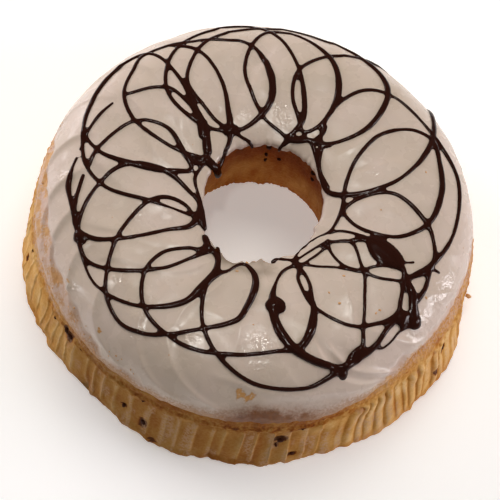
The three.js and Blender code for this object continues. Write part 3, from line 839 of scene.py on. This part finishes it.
def ring_object(name, reach, angle, height, attributes):
    """An object from a ring's points, with numbers at each point for its material."""
    made = mesh_object(name, settle(reach, angle, height).reshape(-1, 3), ring_faces(*reach.shape))
    for key, values in attributes.items():
        attribute = made.data.attributes.new(key, "FLOAT", "POINT")
        attribute.data.foreach_set("value", np.asarray(values, np.float32).ravel())
    return made


def section_normals(reach, height):
    """Outward normals of a closed section that runs up its outer side, one section for each column."""
    along_reach = np.roll(reach, -1, axis=0) - np.roll(reach, 1, axis=0)
    along_height = np.roll(height, -1, axis=0) - np.roll(height, 1, axis=0)
    length = np.maximum(np.hypot(along_reach, along_height), 1e-9)
    return along_height / length, -along_reach / length


def chip_dents(angle, height, chips, reach):
    """Depth of the hollows round the chips, in millimetres."""
    depth = np.zeros(height.shape)
    for turned, level, width, length in chips:
        across = along_ring(angle, turned, reach) / (DENT_WIDTH * width)
        gap = np.hypot(across, (height - level) / (DENT_LENGTH * length))
        depth = np.maximum(depth, DENT_DEPTH * min(width, length) * bell(gap))
    return depth


def folds(angle, height):
    """How far the folds and bulges of the band stand out, in millimetres."""
    out = np.zeros(height.shape)
    for turned, level, half_width, half_height, rise in FOLDS:
        out += rise * bell(along_ring(angle, turned, BAND_REACH) / half_width, (height - level) / half_height)
    return out


def flute_columns():
    """Angles of the points round the band, how high each is across its flute, and how deep the flutes are."""
    draw = np.random.default_rng(FLUTE_SEED)
    middles = np.radians(360) * (np.arange(FLUTES) + 0.5) / FLUTES
    widths = 1 + FLUTE_JITTER * draw.uniform(-1, 1, FLUTES)
    widths *= round_ring(middles, FLUTE_KINDS, FLUTE_WIDE)
    edges = np.radians(360) * np.concatenate([[0], np.cumsum(widths)]) / widths.sum()
    angle = (edges[:-1, None] + np.diff(edges)[:, None] * FLUTE_STEPS).ravel()
    rounded = round_ring(angle, FLUTE_KINDS, FLUTE_ROUNDED)
    ridge = (1 - rounded) * np.tile(FLUTE_RELIEF, FLUTES) + rounded * np.tile(FLUTE_ROUND, FLUTES)
    depth = np.repeat(FLUTE_DEPTH * draw.uniform(*FLUTE_DEPTH_RANGE, FLUTES), len(FLUTE_STEPS))
    depth = depth * (1 + FLUTE_ROUND_DEEPER * rounded)
    return angle, ridge, depth * round_ring(angle, FLUTE_SHARES)


def sponge_section():
    """Reaches and heights of the sponge's section, and which of its rows are outside or in the hole."""
    band = np.append(BAND_ROWS, LEDGE_ROWS)
    inset = np.interp(SHOULDER_ROWS, SHOULDER_TURNS, SHOULDER_INSETS)
    parts = {
        "foot": (FOOT_REACHES, FOOT_HEIGHTS),
        "band": (np.interp(band, BAND_HEIGHTS, BAND_REACHES), band),
        "shoulder": outer_dome(np.radians(SHOULDER_ROWS), inset, inset),
        "top": (TOP_ROWS, dome_height(TOP_ROWS, TOP_INSET)),
        "wall": (np.interp(WALL_ROWS, WALL_HEIGHTS, WALL_REACHES), WALL_ROWS),
        "under": ([UNDER_REACH], [0]),
    }
    kind = np.repeat(list(parts), [len(heights) for reaches, heights in parts.values()])[:, None]
    reach, height = (np.concatenate(rows)[:, None] for rows in zip(*parts.values()))
    outside = np.isin(kind, ["foot", "band", "shoulder"])
    outside[0] = False
    return reach, height, outside, kind == "wall"


def band_brown(rounds, height, level, ridge, crest, dark, band, foot, outside):
    """How browned the band, the ledge and the shoulder are, with painted shade in the grooves and painted
    highlight on the ridges.
    """
    # Painted shade in the grooves and painted highlight on the ridges and crests of the flutes
    shaded_groove = (1 - ridge) ** GROOVE_SHARPNESS
    brown = GROOVE_SHADE * shaded_groove - RIDGE_HIGHLIGHT * ridge - CREST_HIGHLIGHT * crest
    brown = BAND_BROWN + brown * band * (1 - foot)
    brown = brown + layers(rounds, BAND_PATCHES) * outside - layers(rounds, FOOT_PATCHES) * foot
    seam = near(SEAM_PLACE, level + layers(rounds, SEAM_WANDER))
    seam = seam * np.clip(SEAM_WHOLE + layers(rounds, SEAM_BROKEN), 0, SEAM_MOST)
    brown += (SEAM_BROWN + SEAM_BURNT * dark) * seam * outside
    brown += LEDGE_BURNT * dark * fade_in(LEDGE_RISE, level) * outside
    speckled = np.maximum(layers(rounds, SPECKLES), 0) * near(SPECKLE_PLACE, height)
    grainy = layers(rounds, GRAINS) * fade_in(GRAIN_RISE, height) * (1 - GRAIN_LOST * dark)
    return brown + (SPECKLE_BROWN * dark * speckled + GRAIN_BROWN * grainy) * outside


def wall_brown(rounds, angle, height):
    """How browned the wall of the hole is."""
    brown = WALL_BROWN + WALL_TOP_BROWN * fade_in(WALL_BROWN_RISE, height)
    brown = brown + layers(rounds, WALL_PATCHES)
    for turned, pale_height in PALE_PLACES:
        across = along_ring(angle, turned, HOLE_REACH) / PALE_WIDE
        brown = brown - PALE_SHARE * bell(across, (height - pale_height) / PALE_HIGH)
    return brown


def sponge_film(rounds, angle, height, crest, band):
    """How much icing is smeared on the sponge's shoulder and flutes."""
    start = round_ring(angle, SHOULDER, SHOULDER_START)
    end = start + round_ring(angle, SHOULDER, SHOULDER_RISE)
    film = smooth_step(start, end, height + layers(rounds, SHOULDER_WANDER))
    patch = layers(rounds, PATCH_NOISE) * round_ring(angle, PATCHES)
    film = film * round_ring(angle, SHOULDER, SHOULDER_COVER)
    film = film * np.clip(1 - PATCH_SPONGE * patch, PATCH_LEAST, 1)
    smear = layers(rounds, SMEAR_NOISE) + SMEAR_ON_CREST * (crest - SMEAR_CREST_START)
    smear = fade_in(SMEAR_RISE, smear) * band * round_ring(angle, SMEARS)
    return np.maximum(film, smear)


def sponge():
    """The sponge: fluted band, crusty ledge and shoulder, dome under the icing, and the wall of the hole."""
    angle, ridge, depth = flute_columns()
    reach, height, outside, on_wall = sponge_section()
    reach, height, angle = np.broadcast_arrays(reach, height, angle)
    normal_reach, normal_height = section_normals(reach, height)
    rounds = round_places(BAND_REACH, angle, height)
    level = height - round_ring(angle, RAISED)
    band = outside * fade_out(BAND_FADE, level)
    foot = outside * fade_out(FOOT_FADE, height)
    crust = outside * fade_in(CRUST_RISE, level)
    up_band = (height - BAND_MIDDLE) / BAND_HALF
    lean = layers(rounds, FLUTE_LEAN) * up_band + layers(rounds, FLUTE_BEND) * up_band ** 2
    angle = angle + np.radians(lean) * band
    worn = np.clip(FLUTE_WORN + layers(rounds, FLUTE_WEAR), *FLUTE_WORN_LIMITS)
    shift = ridge * depth * worn * band * (1 - FLUTE_LOST_AT_FOOT * foot)
    shift += foot * layers(rounds, FOOT_WRINKLES)
    lobes = LOBE_DEPTH * np.cos(LOBES * (angle - np.radians(LOBE_TURN)))
    shift += lobes * (1 - height / (2 * BAND_TOP)) * band
    creases = sum(strength * (CREASE_TOP - CREASE_FALL * np.abs(noise(rounds, size, seed)))
                  for strength, size, seed in BAND_CREASES)
    creases = creases * (CREASE_ON_BAND + (1 - CREASE_ON_BAND) * foot)
    shift += (layers(rounds, BAND_BULGES) + creases + folds(angle, height) - FLUTE_SUNK) * band
    shift += CRUST_DEPTH * layers(rounds, CRUST_RELIEF) * near(CRUST_RIDGE, level) * outside
    shift += layers(rounds, CRUMB_RELIEF) * (CRUMB_ON_BAND * band + CRUMB_ON_CRUST * crust)
    shift += on_wall * layers(rounds, WALL_RELIEF)
    shift -= chip_dents(angle, height, BAND_CHIPS, DENT_BAND_REACH) * outside
    shift -= chip_dents(angle, height, HOLE_CHIPS, DENT_WALL_REACH) * on_wall
    reach = reach + shift * np.where(np.abs(normal_reach) > STEEP_ENOUGH, normal_reach, 0)
    height = np.maximum(height + shift * normal_height * (height > FREE_OF_TABLE), 0)
    reach += on_wall * fade_out(HOLE_EDGE_FADE, height) * layers(rounds, HOLE_EDGE)
    reach += on_wall * fade_out(HOLE_FOOT_FADE, height) * round_ring(angle, FOOT_SHIFTS)
    reach += on_wall * fade_in(HOLE_RIM_RISE, height) * np.maximum(-round_ring(angle, RIM_HANGS), 0)
    dark = round_ring(angle, FILM, FILM_DARK)
    crest = fade_in(CREST_RISE, ridge)
    brown = band_brown(rounds, height, level, ridge, crest, dark, band, foot, outside)
    brown = brown + round_ring(angle, TONES) * outside
    brown = np.where(on_wall, wall_brown(rounds, angle, height), brown)
    brown += CHIP_BROWN * (chip_dents(angle, height, BAND_CHIPS, DENT_BAND_REACH) * outside > CHIP_EDGE)
    crust_grain = near(CRUST_PLACE, level) * (CRUST_LEAST + (1 - CRUST_LEAST) * dark)
    return ring_object("sponge_ring", reach, angle, height, {
        "crust": crust_grain * outside,
        # Painted shade on the band's front
        "front_shade": round_ring(angle, FRONT_SHADE) * outside * fade_out(FRONT_SHADE_FADE, height),
        "brown": brown,
        "film": sponge_film(rounds, angle, height, crest, band) * outside,
    })


def icing_section(angle):
    """Rows of the icing from its edge over the crown to the lip and back below, and shares up its side."""
    edge = round_ring(angle, EDGE_TURNS) + layers(round_places(DOME_REACH, angle), EDGE_RAGGED)
    edge = np.radians(np.maximum(edge, EDGE_LEAST))
    shares = np.linspace(0, 1, OUTER_ROWS)[:, None] ** OUTER_SPACING
    turn = edge + (math.pi / 2 - edge) * shares
    outer = outer_dome(turn, np.interp(np.degrees(turn - edge), FEATHER_TURNS, FEATHER_SUNK), 0)
    inner_turn = np.radians(INNER_ROWS)[:, None] + 0 * angle
    inner_reach = CROWN_REACH - (CROWN_REACH - RIM_REACH) * np.cos(inner_turn)
    inner_height = RIM_HEIGHT + (CROWN_HEIGHT - RIM_HEIGHT) * np.sin(inner_turn)
    torn = 1 + TORN_MORE * near(TORN_PLACE, np.degrees(angle))
    ragged = torn * layers(round_places(RIM_REACH, angle), RIM_RAGGED)
    hang = RIM_RAGGED_SHARE * ragged + round_ring(angle, RIM_HANGS)
    inner_reach = inner_reach - hang * fade_out(RIM_FADE, inner_reach)
    lip_reach = RIM_REACH + np.array(LIP_SHIFTS)[:, None] - hang
    lip_drop = np.array(LIP_DROPS)[:, None] * (1 + LIP_RAGGED * np.clip(ragged, *LIP_RAGGED_LIMITS))
    under_reach = np.array(UNDER_ROWS)[:, None] + 0 * angle
    parts = [
        outer,
        (inner_reach, inner_height),
        (lip_reach, RIM_HEIGHT - lip_drop),
        (under_reach, dome_height(under_reach, UNDER_INSET)),
        (outer[0][:1] - CLOSING_INSET, outer[1][:1] + CLOSING_RISE),
    ]
    reach, height = (np.concatenate(rows) for rows in zip(*parts))
    return reach, height, shares


def icing():
    """The icing: its marked top from the feathered edge to the lip in the hole, and its underside."""
    angle = np.linspace(0, 2 * math.pi, ICING_COLUMNS, endpoint=False)[None]
    reach, height, shares = icing_section(angle)
    normal_reach, normal_height = section_normals(reach, height)
    on_top = (np.arange(len(reach)) < OUTER_ROWS + len(INNER_ROWS))[:, None]
    angle = angle + 0 * reach
    edge_share = np.ones((len(reach), 1))
    edge_share[:OUTER_ROWS] = fade_in(EDGE_RELIEF_RISE, shares)
    past = past_thick(reach, angle) * on_top
    softness = round_ring(angle, FILM, FILM_SOFTNESS)
    film = smooth_step(FILM_START, softness, past) * on_top
    places = round_places(reach, angle, height)
    patch = layers(places, PATCH_NOISE) * round_ring(angle, PATCHES)
    bare = np.maximum(round_ring(angle, FILM, FILM_BARE) + PATCH_BARE * patch, 0)
    relief = icing_relief(reach, angle) * on_top * edge_share
    film_relief = FILM_RELIEF_LEAST + (1 - FILM_RELIEF_LEAST) * bare
    relief += film * film_relief * layers(places, FILM_RELIEF)
    reach = reach + relief * normal_reach
    height = height + relief * normal_height
    covered = round_ring(angle, SHOULDER, SHOULDER_COVER) * fade_out(THIN_COVERED_FADE, height)
    thin = smooth_step(0, THIN_START + softness, past) * bare * (1 - THIN_COVERED * covered)
    dark = round_ring(angle, FILM, FILM_DARK)
    edge_dark = dark[:OUTER_ROWS]
    fringe = np.zeros(reach.shape)
    fringe_end = FRINGE_WIDTH + FRINGE_WIDER * edge_dark
    fringe[:OUTER_ROWS] = 1 - smooth_step(FRINGE_START * edge_dark, fringe_end, shares)
    thin = np.maximum(thin, (FRINGE_THIN + FRINGE_THINNER * dark) * fringe)
    for turned, spot_reach, size in THIN_SPOTS:
        across = along_ring(angle, turned, spot_reach) / SPOT_LENGTH
        gap = np.hypot(across, reach - spot_reach) / size + layers(places, SPOT_RAGGED)
        spot = fade_out(SPOT_EDGE, gap)
        thin = np.maximum(thin, SPOT_THIN * spot)
        dark = dark * (1 - spot)
    glint = np.zeros(reach.shape)
    for turned, glint_reach, size in GLINTS:
        across = along_ring(angle, turned, glint_reach) / size
        glint = np.maximum(glint, bell(across, (reach - glint_reach) / size))
    # Painted shade on the near rim, where the icing curves down into the hole
    rim_shade = round_ring(angle, RIM_SHADE) * fade_out(RIM_SHADE_FADE, reach)
    return ring_object("icing_coat", reach, angle, height, {
        "rim_shade": rim_shade * np.clip(RIM_SHADE_WHOLE + layers(places, RIM_SHADE_BROKEN), 0, 1),
        "film": film,
        "thin": thin * on_top,
        "dark": dark,
        "glint": glint * on_top,
    })


def smooth_route(route):
    """Points (x, y, width) close together on a smooth curve through a route's knots."""
    knots = []
    for turned, reach, *width in route:
        a = math.radians(turned)
        at_side = fade_in(DRAWN_BETWEEN, reach)
        reach += at_side * round_ring(a, DRAWN, DRAWN_SIDE) + (1 - at_side) * round_ring(a, DRAWN, DRAWN_HOLE)
        knots.append([reach * math.cos(a), reach * math.sin(a), width[0] if width else LINE_WIDTH])
    knots = np.array(knots)
    knots = np.concatenate([[2 * knots[0] - knots[1]], knots, [2 * knots[-1] - knots[-2]]])
    points = []
    for p0, p1, p2, p3 in zip(knots, knots[1:], knots[2:], knots[3:]):
        d0, d1, d2 = (max(np.linalg.norm(b - a) ** 0.5, 1e-4) for a, b in ((p0, p1), (p1, p2), (p2, p3)))
        leave = ((p1 - p0) / d0 - (p2 - p0) / (d0 + d1) + (p2 - p1) / d1) * d1
        arrive = ((p2 - p1) / d1 - (p3 - p1) / (d1 + d2) + (p3 - p2) / d2) * d1
        count = max(2, int(np.linalg.norm(p2 - p1) / LINE_STEP))
        t = (np.arange(count) / count)[:, None]
        points.append((2 * t ** 3 - 3 * t ** 2 + 1) * p1 + (t ** 3 - 2 * t ** 2 + t) * leave
                      + (3 * t ** 2 - 2 * t ** 3) * p2 + (t ** 3 - t ** 2) * arrive)
    return np.concatenate(points + [knots[-2:-1]])


def strand(places, normals, widths):
    """Points and faces of a rounded strand along places, lying on a surface with those normals."""
    across = unit(np.cross(normals, np.gradient(places, axis=0)))
    turn = np.linspace(0, 2 * math.pi, LINE_SIDES, endpoint=False)
    steps = np.arange(len(places))
    end = np.minimum(steps, steps[::-1]) * LINE_STEP / (0.5 * widths + 1e-6)
    ending = np.sqrt(np.clip(1 - (1 - np.clip(end + LINE_BLUNT, 0, 1)) ** 2, 0, 1))
    rise = np.minimum(LINE_RISE * widths, LINE_RISE_MOST) * ending + LINE_FILLET
    widths = widths * ending + 2 * LINE_FILLET
    side = np.cos(turn)[None] * widths[:, None] / 2
    lift = np.where(np.sin(turn) > 0, np.sin(turn)[None] * rise[:, None], np.sin(turn)[None] * LINE_SUNK)
    points = places[:, None] + side[..., None] * across[:, None] + lift[..., None] * normals[:, None]
    last = (len(places) - 1) * LINE_SIDES
    faces = ring_faces(len(places), LINE_SIDES)[:last].tolist()
    faces += [list(range(LINE_SIDES)), list(range(last + LINE_SIDES - 1, last - 1, -1))]
    return points.reshape(-1, 3), faces


def pool(turned, reach, length, width, turn):
    """Points and faces of a pool of chocolate that lies on the icing."""
    a = math.radians(turned)
    places, normals = icing_surface(np.array([reach * math.cos(a)]), np.array([reach * math.sin(a)]))
    up = normals[0]
    heading = np.array([-math.sin(a + math.radians(turn)), math.cos(a + math.radians(turn)), 0])
    along = unit(heading - up * (heading @ up))
    across = np.cross(up, along)
    corners, faces = ball(POOL_DETAIL, 1.0)
    corners = corners * (1 + POOL_UNEVEN * noise(corners, POOL_LUMPS, int(turned)))[:, None]
    rise = np.where(corners[:, 2] > 0, LINE_RISE_MOST + LINE_FILLET, LINE_SUNK)
    length, width = length / 2 + LINE_FILLET, width / 2 + LINE_FILLET
    points = places[0] + corners[:, :1] * along * length + corners[:, 1:2] * across * width
    return points + (corners[:, 2] * rise)[:, None] * up, faces


def drip(knots):
    """Points and faces of a drip that hangs over the rim of the hole."""
    share = np.linspace(0, len(knots) - 1, DRIP_STEPS)
    columns = np.array(knots, float).T
    turned, reach, height, width = (np.interp(share, np.arange(len(knots)), column) for column in columns)
    angle = np.radians(turned)
    over = fade_out(DRIP_TURN, height)[:, None]
    normals = unit(round_places(-1, angle) * over + np.array([0, 0, 1]) * (1 - over))
    return strand(settle(reach, angle, height), normals, width)


def modify(made, name, kind, **settings):
    """Adds a modifier with its settings to an object."""
    modifier = made.modifiers.new(name, kind)
    for key, value in settings.items():
        setattr(modifier, key, value)


def chocolate():
    """The piped line, its pools and its drips, run together where they meet."""
    shapes = []
    for route in ROUTES:
        line = smooth_route(route)
        places, normals = icing_surface(line[:, 0], line[:, 1])
        shapes.append(strand(places, normals, line[:, 2] * (1 + layers(places, LINE_UNEVEN))))
    shapes += [pool(*figures) for figures in POOLS]
    shapes += [drip(knots) for knots in DRIPS]
    made = joined("chocolate_line", shapes)
    modify(made, "run_together", "REMESH", mode="VOXEL", voxel_size=LINE_VOXEL * MM)
    modify(made, "back_from_fillets", "DISPLACE", mid_level=0, strength=-LINE_FILLET * MM)
    modify(made, "soften", "SMOOTH", factor=LINE_SMOOTHNESS, iterations=LINE_SMOOTHING)
    modify(made, "fewer_faces", "DECIMATE", ratio=LINE_THINNING)
    fused = bpy.data.meshes.new_from_object(made.evaluated_get(bpy.context.evaluated_depsgraph_get()))
    made.modifiers.clear()
    made.data = fused
    fused.polygons.foreach_set("use_smooth", [True] * len(fused.polygons))
    return made


def lumps(name, places, normals, sizes, seed, detail=LUMP_DETAIL, roughness=LUMP_ROUGHNESS):
    """One object of small uneven lumps, each half sunk where it lies; sizes are along, across and up."""
    corners, faces = ball(detail, 0.5)
    draw = np.random.default_rng(seed)
    shapes = []
    for place, normal, size in zip(places, normals, sizes):
        shape = corners * (1 + roughness * draw.uniform(-1, 1, (len(corners), 1)))
        spin = draw.uniform(0, 2 * math.pi)
        along = unit(np.cross(normal, [math.cos(spin), math.sin(spin), LUMP_LEAN]))
        axes = np.stack([along, np.cross(normal, along), normal])
        shapes.append((place + (shape * size) @ axes, faces))
    return joined(name, shapes)


def chips():
    """Dark chips that show in the band and in the wall of the hole."""
    places, normals, sizes = [], [], []
    sides = [(1, BAND_CHIPS, BAND_HEIGHTS, BAND_REACHES, -CHIP_IN_BAND),
             (-1, HOLE_CHIPS, WALL_HEIGHTS, WALL_REACHES, CHIP_IN_WALL)]
    for side, table, side_heights, side_reaches, sunk in sides:
        for turned, height, width, length in table:
            a = math.radians(turned)
            places.append(settle(np.interp(height, side_heights, side_reaches) + sunk, a, height))
            normals.append([side * math.cos(a), side * math.sin(a), CHIP_TILT])
            sizes.append([length, width, CHIP_THICKNESS])
    return lumps("chocolate_chips", places, unit(np.array(normals)), np.array(sizes), CHIP_SEED,
                 CHIP_DETAIL, CHIP_ROUGHNESS)


def crumbs():
    """Crumbs of crust that lie in the icing, most of them near its edges, and one that clings to the foot."""
    draw = np.random.default_rng(CRUMB_SEED)
    known_angle, known_reach = np.array(CRUMB_PLACES).T
    angle = [np.radians(known_angle), draw.uniform(0, 2 * math.pi, CRUMBS_ON_TOP)]
    reach = [known_reach, draw.uniform(*TOP_CRUMB_REACHES, CRUMBS_ON_TOP)]
    angle.append(np.radians(draw.uniform(*EDGE_CRUMB_ANGLES, CRUMBS_AT_EDGE)))
    reach.append(draw.uniform(*EDGE_CRUMB_REACHES, CRUMBS_AT_EDGE))
    angle, reach = np.concatenate(angle), np.concatenate(reach)
    places, normals = icing_surface(reach * np.cos(angle), reach * np.sin(angle))
    widths = [draw.uniform(*CRUMB_WIDTHS, len(CRUMB_PLACES)),
              draw.uniform(*SMALL_CRUMB_WIDTHS, CRUMBS_ON_TOP + CRUMBS_AT_EDGE)]
    sizes = np.concatenate(widths)[:, None] * CRUMB_FORM
    knob_turn = math.radians(KNOB_TURN)
    places = np.concatenate([places, [round_places(BAND_REACH, knob_turn, KNOB_HEIGHT)]])
    normals = np.concatenate([normals, [round_places(1, knob_turn)]])
    return lumps("crumbs", places, normals, np.concatenate([sizes, [KNOB_SIZES]]), CRUMB_FORM_SEED)


def linear(colour):
    """A colour of 0 to 255 as the shader takes it."""
    shares = [c / 255 for c in colour]
    return [s / 12.92 if s <= 0.04045 else ((s + 0.055) / 1.055) ** 2.4 for s in shares] + [1.0]


class Look:
    """A material's nodes, with short ways to add and join them."""

    def __init__(self, name):
        self.material = bpy.data.materials.new(name)
        self.material.use_nodes = True
        self.tree = self.material.node_tree
        self.shader = self.tree.nodes["Principled BSDF"]

    def put(self, socket, value):
        """Sets a socket, or links it to another one."""
        if isinstance(value, bpy.types.NodeSocket):
            self.tree.links.new(value, socket)
        else:
            socket.default_value = value

    def add(self, kind, settings=None, **inputs):
        """A node with its settings made and its inputs set or linked; an input's spaces are written as _."""
        made = self.tree.nodes.new("ShaderNode" + kind)
        for key, value in (settings or {}).items():
            setattr(made, key, value)
        for key, value in inputs.items():
            self.put(made.inputs[key.replace("_", " ")], value)
        return made

    def shade(self, **inputs):
        """Sets or links inputs of the shader."""
        for key, value in inputs.items():
            self.put(self.shader.inputs[key.replace("_", " ")], value)

    def noise(self, size, detail=3, tall=1):
        """Noise with lumps of about a size in millimetres, which may be taller than they are wide."""
        place = self.add("TexCoord").outputs["Object"]
        if tall != 1:
            place = self.add("Mapping", Vector=place, Scale=(1, 1, 1 / tall)).outputs["Vector"]
        return self.add("TexNoise", Vector=place, Scale=1 / (size * MM), Detail=detail).outputs["Fac"]

    def attribute(self, name):
        """A number that the mesh has at each point."""
        return self.add("Attribute", {"attribute_name": name}).outputs["Fac"]

    def maths(self, operation, first, second):
        """The result of a sum on two values."""
        made = self.add("Math", {"operation": operation})
        self.put(made.inputs[0], first)
        self.put(made.inputs[1], second)
        return made.outputs[0]

    def plus(self, first, second):
        return self.maths("ADD", first, second)

    def less(self, first, second):
        return self.maths("SUBTRACT", first, second)

    def times(self, first, second):
        return self.maths("MULTIPLY", first, second)

    def ramp(self, value, stops):
        """Shader colours along a value, given as (place, colour)."""
        made = self.add("ValToRGB", Fac=value)
        elements = made.color_ramp.elements
        while len(elements) < len(stops):
            elements.new(0.5)
        for element, (place, colour) in zip(elements, stops):
            element.position = place
            element.color = colour
        return made.outputs["Color"]

    def grays(self, value, *stops):
        """Grays along a value, given as (place, brightness)."""
        return self.ramp(value, [(place, (gray, gray, gray, 1)) for place, gray in stops])

    def mix(self, share, first, second):
        """Two colours mixed by a share; a colour is an output, or three numbers of 0 to 255."""
        made = self.add("Mix", {"data_type": "RGBA"}, Factor=share)
        for socket, colour in zip(made.inputs[6:8], (first, second)):
            self.put(socket, linear(colour) if isinstance(colour, tuple) else colour)
        return made.outputs[2]

    def bump(self, height, strength, distance):
        """Bumps of a height in millimetres."""
        made = self.add("Bump", Height=height, Strength=strength, Distance=distance * MM)
        self.shade(Normal=made.outputs["Normal"])


def sponge_material():
    """Browned sponge with grainy crust, painted shade on the band's front, and thin icing smeared on it."""
    look = Look("baked_sponge")
    grain = look.noise(1.4, detail=4)
    brown = look.plus(look.attribute("brown"), look.times(grain, GRAIN_STRENGTH))
    brown = look.plus(brown, look.times(look.noise(7, detail=2), PATCH_STRENGTH))
    brown = look.less(brown, (GRAIN_STRENGTH + PATCH_STRENGTH) / 2)
    crusty = look.times(look.less(grain, 0.5), look.attribute("crust"))
    brown = look.plus(brown, look.times(crusty, CRUST_STRENGTH))
    colour = look.ramp(brown, [(place, linear(stop)) for place, stop in SPONGE_BROWNS])
    # Painted shade: the band and the film on it are darkened toward the front, which faces away from the
    # lights
    front_shade = look.attribute("front_shade")
    colour = look.mix(look.times(front_shade, FRONT_SHADE_STRENGTH), colour, FRONT_SHADE_BROWN)
    speckle = look.grays(look.noise(1.2, detail=4), (0.42, 0.1), (0.56, 1))
    film = look.times(look.attribute("film"), speckle)
    colour = look.mix(film, colour, look.mix(front_shade, *SPONGE_FILMS_LIT_AND_SHADED))
    rough = look.grays(grain, (0.3, 0.6), (0.7, 0.82))
    look.shade(Base_Color=colour, Roughness=rough, Specular_IOR_Level=0.05)
    look.bump(look.noise(0.8, detail=4), strength=0.6, distance=0.3)
    return look.material


def icing_material():
    """Cream icing that thins to a film with crust showing through, painted shade at the near rim, puckered
    where it sparkles.
    """
    look = Look("white_icing")
    thin, dark, film, glint = (look.attribute(name) for name in ("thin", "dark", "film", "glint"))
    strength = look.less(SPECKLE_STRENGTH, look.times(dark, SPECKLE_LOST))
    speckle = look.times(look.less(look.noise(1.1, detail=4), 0.5), strength)
    speckled = look.plus(thin, look.times(speckle, look.maths("MINIMUM", thin, SPECKLE_MOST)))
    cream = look.mix(look.noise(24, detail=2), *CREAMS)
    golden = look.mix(look.noise(2, tall=4), *GOLDS)
    burnt = look.mix(look.noise(1.8), *BURNT_BROWNS)
    crust = look.mix(dark, golden, burnt)
    mottled = look.times(film, look.grays(look.noise(2.2), (0.35, 0.55), (0.6, 1)))
    filmy = look.mix(mottled, cream, look.mix(dark, *ICING_FILMS))
    # Painted shade: the icing is grayed on the near rim
    filmy = look.mix(look.attribute("rim_shade"), filmy, RIM_SHADE_GRAY)
    sharp = look.grays(speckled, (0.3, 0), (0.7, 1))
    soft = look.grays(speckled, (0.1, 0), (1, 1))
    bare = look.mix(dark, sharp, soft)
    rough = look.grays(look.noise(9), (0.3, 0.2), (0.7, 0.36))
    rough = look.maths("MAXIMUM", look.less(rough, look.times(glint, GLINT_GLOSS)), SMOOTHEST)
    rough = look.plus(rough, look.times(film, FILM_DULLNESS))
    look.shade(Base_Color=look.mix(bare, filmy, crust), Roughness=rough,
               Subsurface_Weight=0.12, Subsurface_Radius=(0.003, 0.0022, 0.0016))
    puckers = look.times(look.noise(2.2), glint)
    look.bump(look.plus(look.noise(4), look.times(puckers, PUCKER_STRENGTH)), strength=0.35, distance=0.3)
    return look.material


def plain_look(name, colours, colour_size, smooth, rough, rough_size, **inputs):
    """Nodes of a material of two colours whose roughness varies; sizes are those of its lumps."""
    look = Look(name)
    look.shade(Base_Color=look.mix(look.noise(colour_size), *colours),
               Roughness=look.grays(look.noise(rough_size), (0.3, smooth), (0.7, rough)), **inputs)
    return look


def chocolate_material():
    look = plain_look("dark_chocolate", CHOCOLATE_BROWNS, colour_size=5, smooth=0.1, rough=0.18, rough_size=3,
                      Specular_IOR_Level=0.18)
    look.bump(look.noise(1.5, detail=2), strength=0.12, distance=0.1)
    return look.material


def chip_material():
    look = plain_look("baked_chips", CHIP_BROWNS, colour_size=0.9, smooth=0.4, rough=0.7, rough_size=1,
                      Specular_IOR_Level=0.06)
    look.bump(look.noise(0.5), strength=0.4, distance=0.2)
    return look.material


def crumb_material():
    look = plain_look("crust_crumbs", CRUMB_BROWNS, colour_size=1.4, smooth=0.65, rough=0.85, rough_size=0.8)
    look.bump(look.noise(0.4), strength=0.4, distance=0.15)
    return look.material


def floor_material():
    look = Look("pale_floor")
    look.shade(Base_Color=look.mix(look.noise(60, detail=2), *FLOOR_WHITES), Roughness=0.7,
               Emission_Color=(1, 0.99, 0.97, 1), Emission_Strength=0.3)
    return look.material


def camera():
    """The photo's camera."""
    rise, roll = math.radians(CAMERA_RISE), math.radians(CAMERA_ROLL)
    back = Vector((0, -math.cos(rise), math.sin(rise)))
    right = Vector((1, 0, 0))
    up = back.cross(right)
    turned_right = math.cos(roll) * right + math.sin(roll) * up
    turned_up = -math.sin(roll) * right + math.cos(roll) * up
    data = bpy.data.cameras.new("photo_camera")
    data.lens, data.sensor_width = CAMERA_LENS, CAMERA_SENSOR
    made = add_object("photo_camera", data)
    place = (Vector(CAMERA_AIM) + CAMERA_DISTANCE * back) * MM
    turned = Matrix((turned_right, turned_up, back)).transposed().to_4x4()
    made.matrix_world = Matrix.Translation(place) @ turned
    bpy.context.scene.camera = made


def area_light(name, place, size, power, colour, glossy, diffuse):
    """A square soft light that faces the cake; it may make only highlights, or none."""
    data = bpy.data.lights.new(name, "AREA")
    data.shape, data.size, data.energy, data.color = "SQUARE", size, power, colour
    made = add_object(name, data)
    made.location = place
    made.visible_glossy = glossy
    made.visible_diffuse = diffuse
    made.rotation_euler = (Vector(LIGHT_AIM) - Vector(place)).to_track_quat("-Z", "Y").to_euler()


def studio():
    """Pale floor, soft lights and a dim even surround."""
    corners = np.array([[-1, -1, 0], [1, -1, 0], [1, 1, 0], [-1, 1, 0]]) * FLOOR_HALF
    floor = mesh_object("floor", corners / MM, [[0, 1, 2, 3]])
    floor.location.z = -FLOOR_DROP
    floor.data.materials.append(floor_material())
    for figures in LIGHTS:
        area_light(*figures)
    world = bpy.data.worlds.new("surround")
    bpy.context.scene.world = world
    world.use_nodes = True
    surround = world.node_tree.nodes["Background"].inputs
    surround["Color"].default_value = SURROUND_COLOUR
    surround["Strength"].default_value = SURROUND_STRENGTH
    bpy.context.scene.view_settings.view_transform = "Standard"


def place_piece(made, material, node=None):
    """Gives a piece its material and its place in the frame."""
    made.data.materials.clear()
    made.data.materials.append(material)
    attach(made, "root")
    if node:
        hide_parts(node)


place_piece(sponge(), sponge_material(), "sponge")
place_piece(icing(), icing_material(), "icing")
place_piece(chocolate(), chocolate_material(), "icing")
place_piece(chips(), chip_material())
place_piece(crumbs(), crumb_material())
camera()
studio()
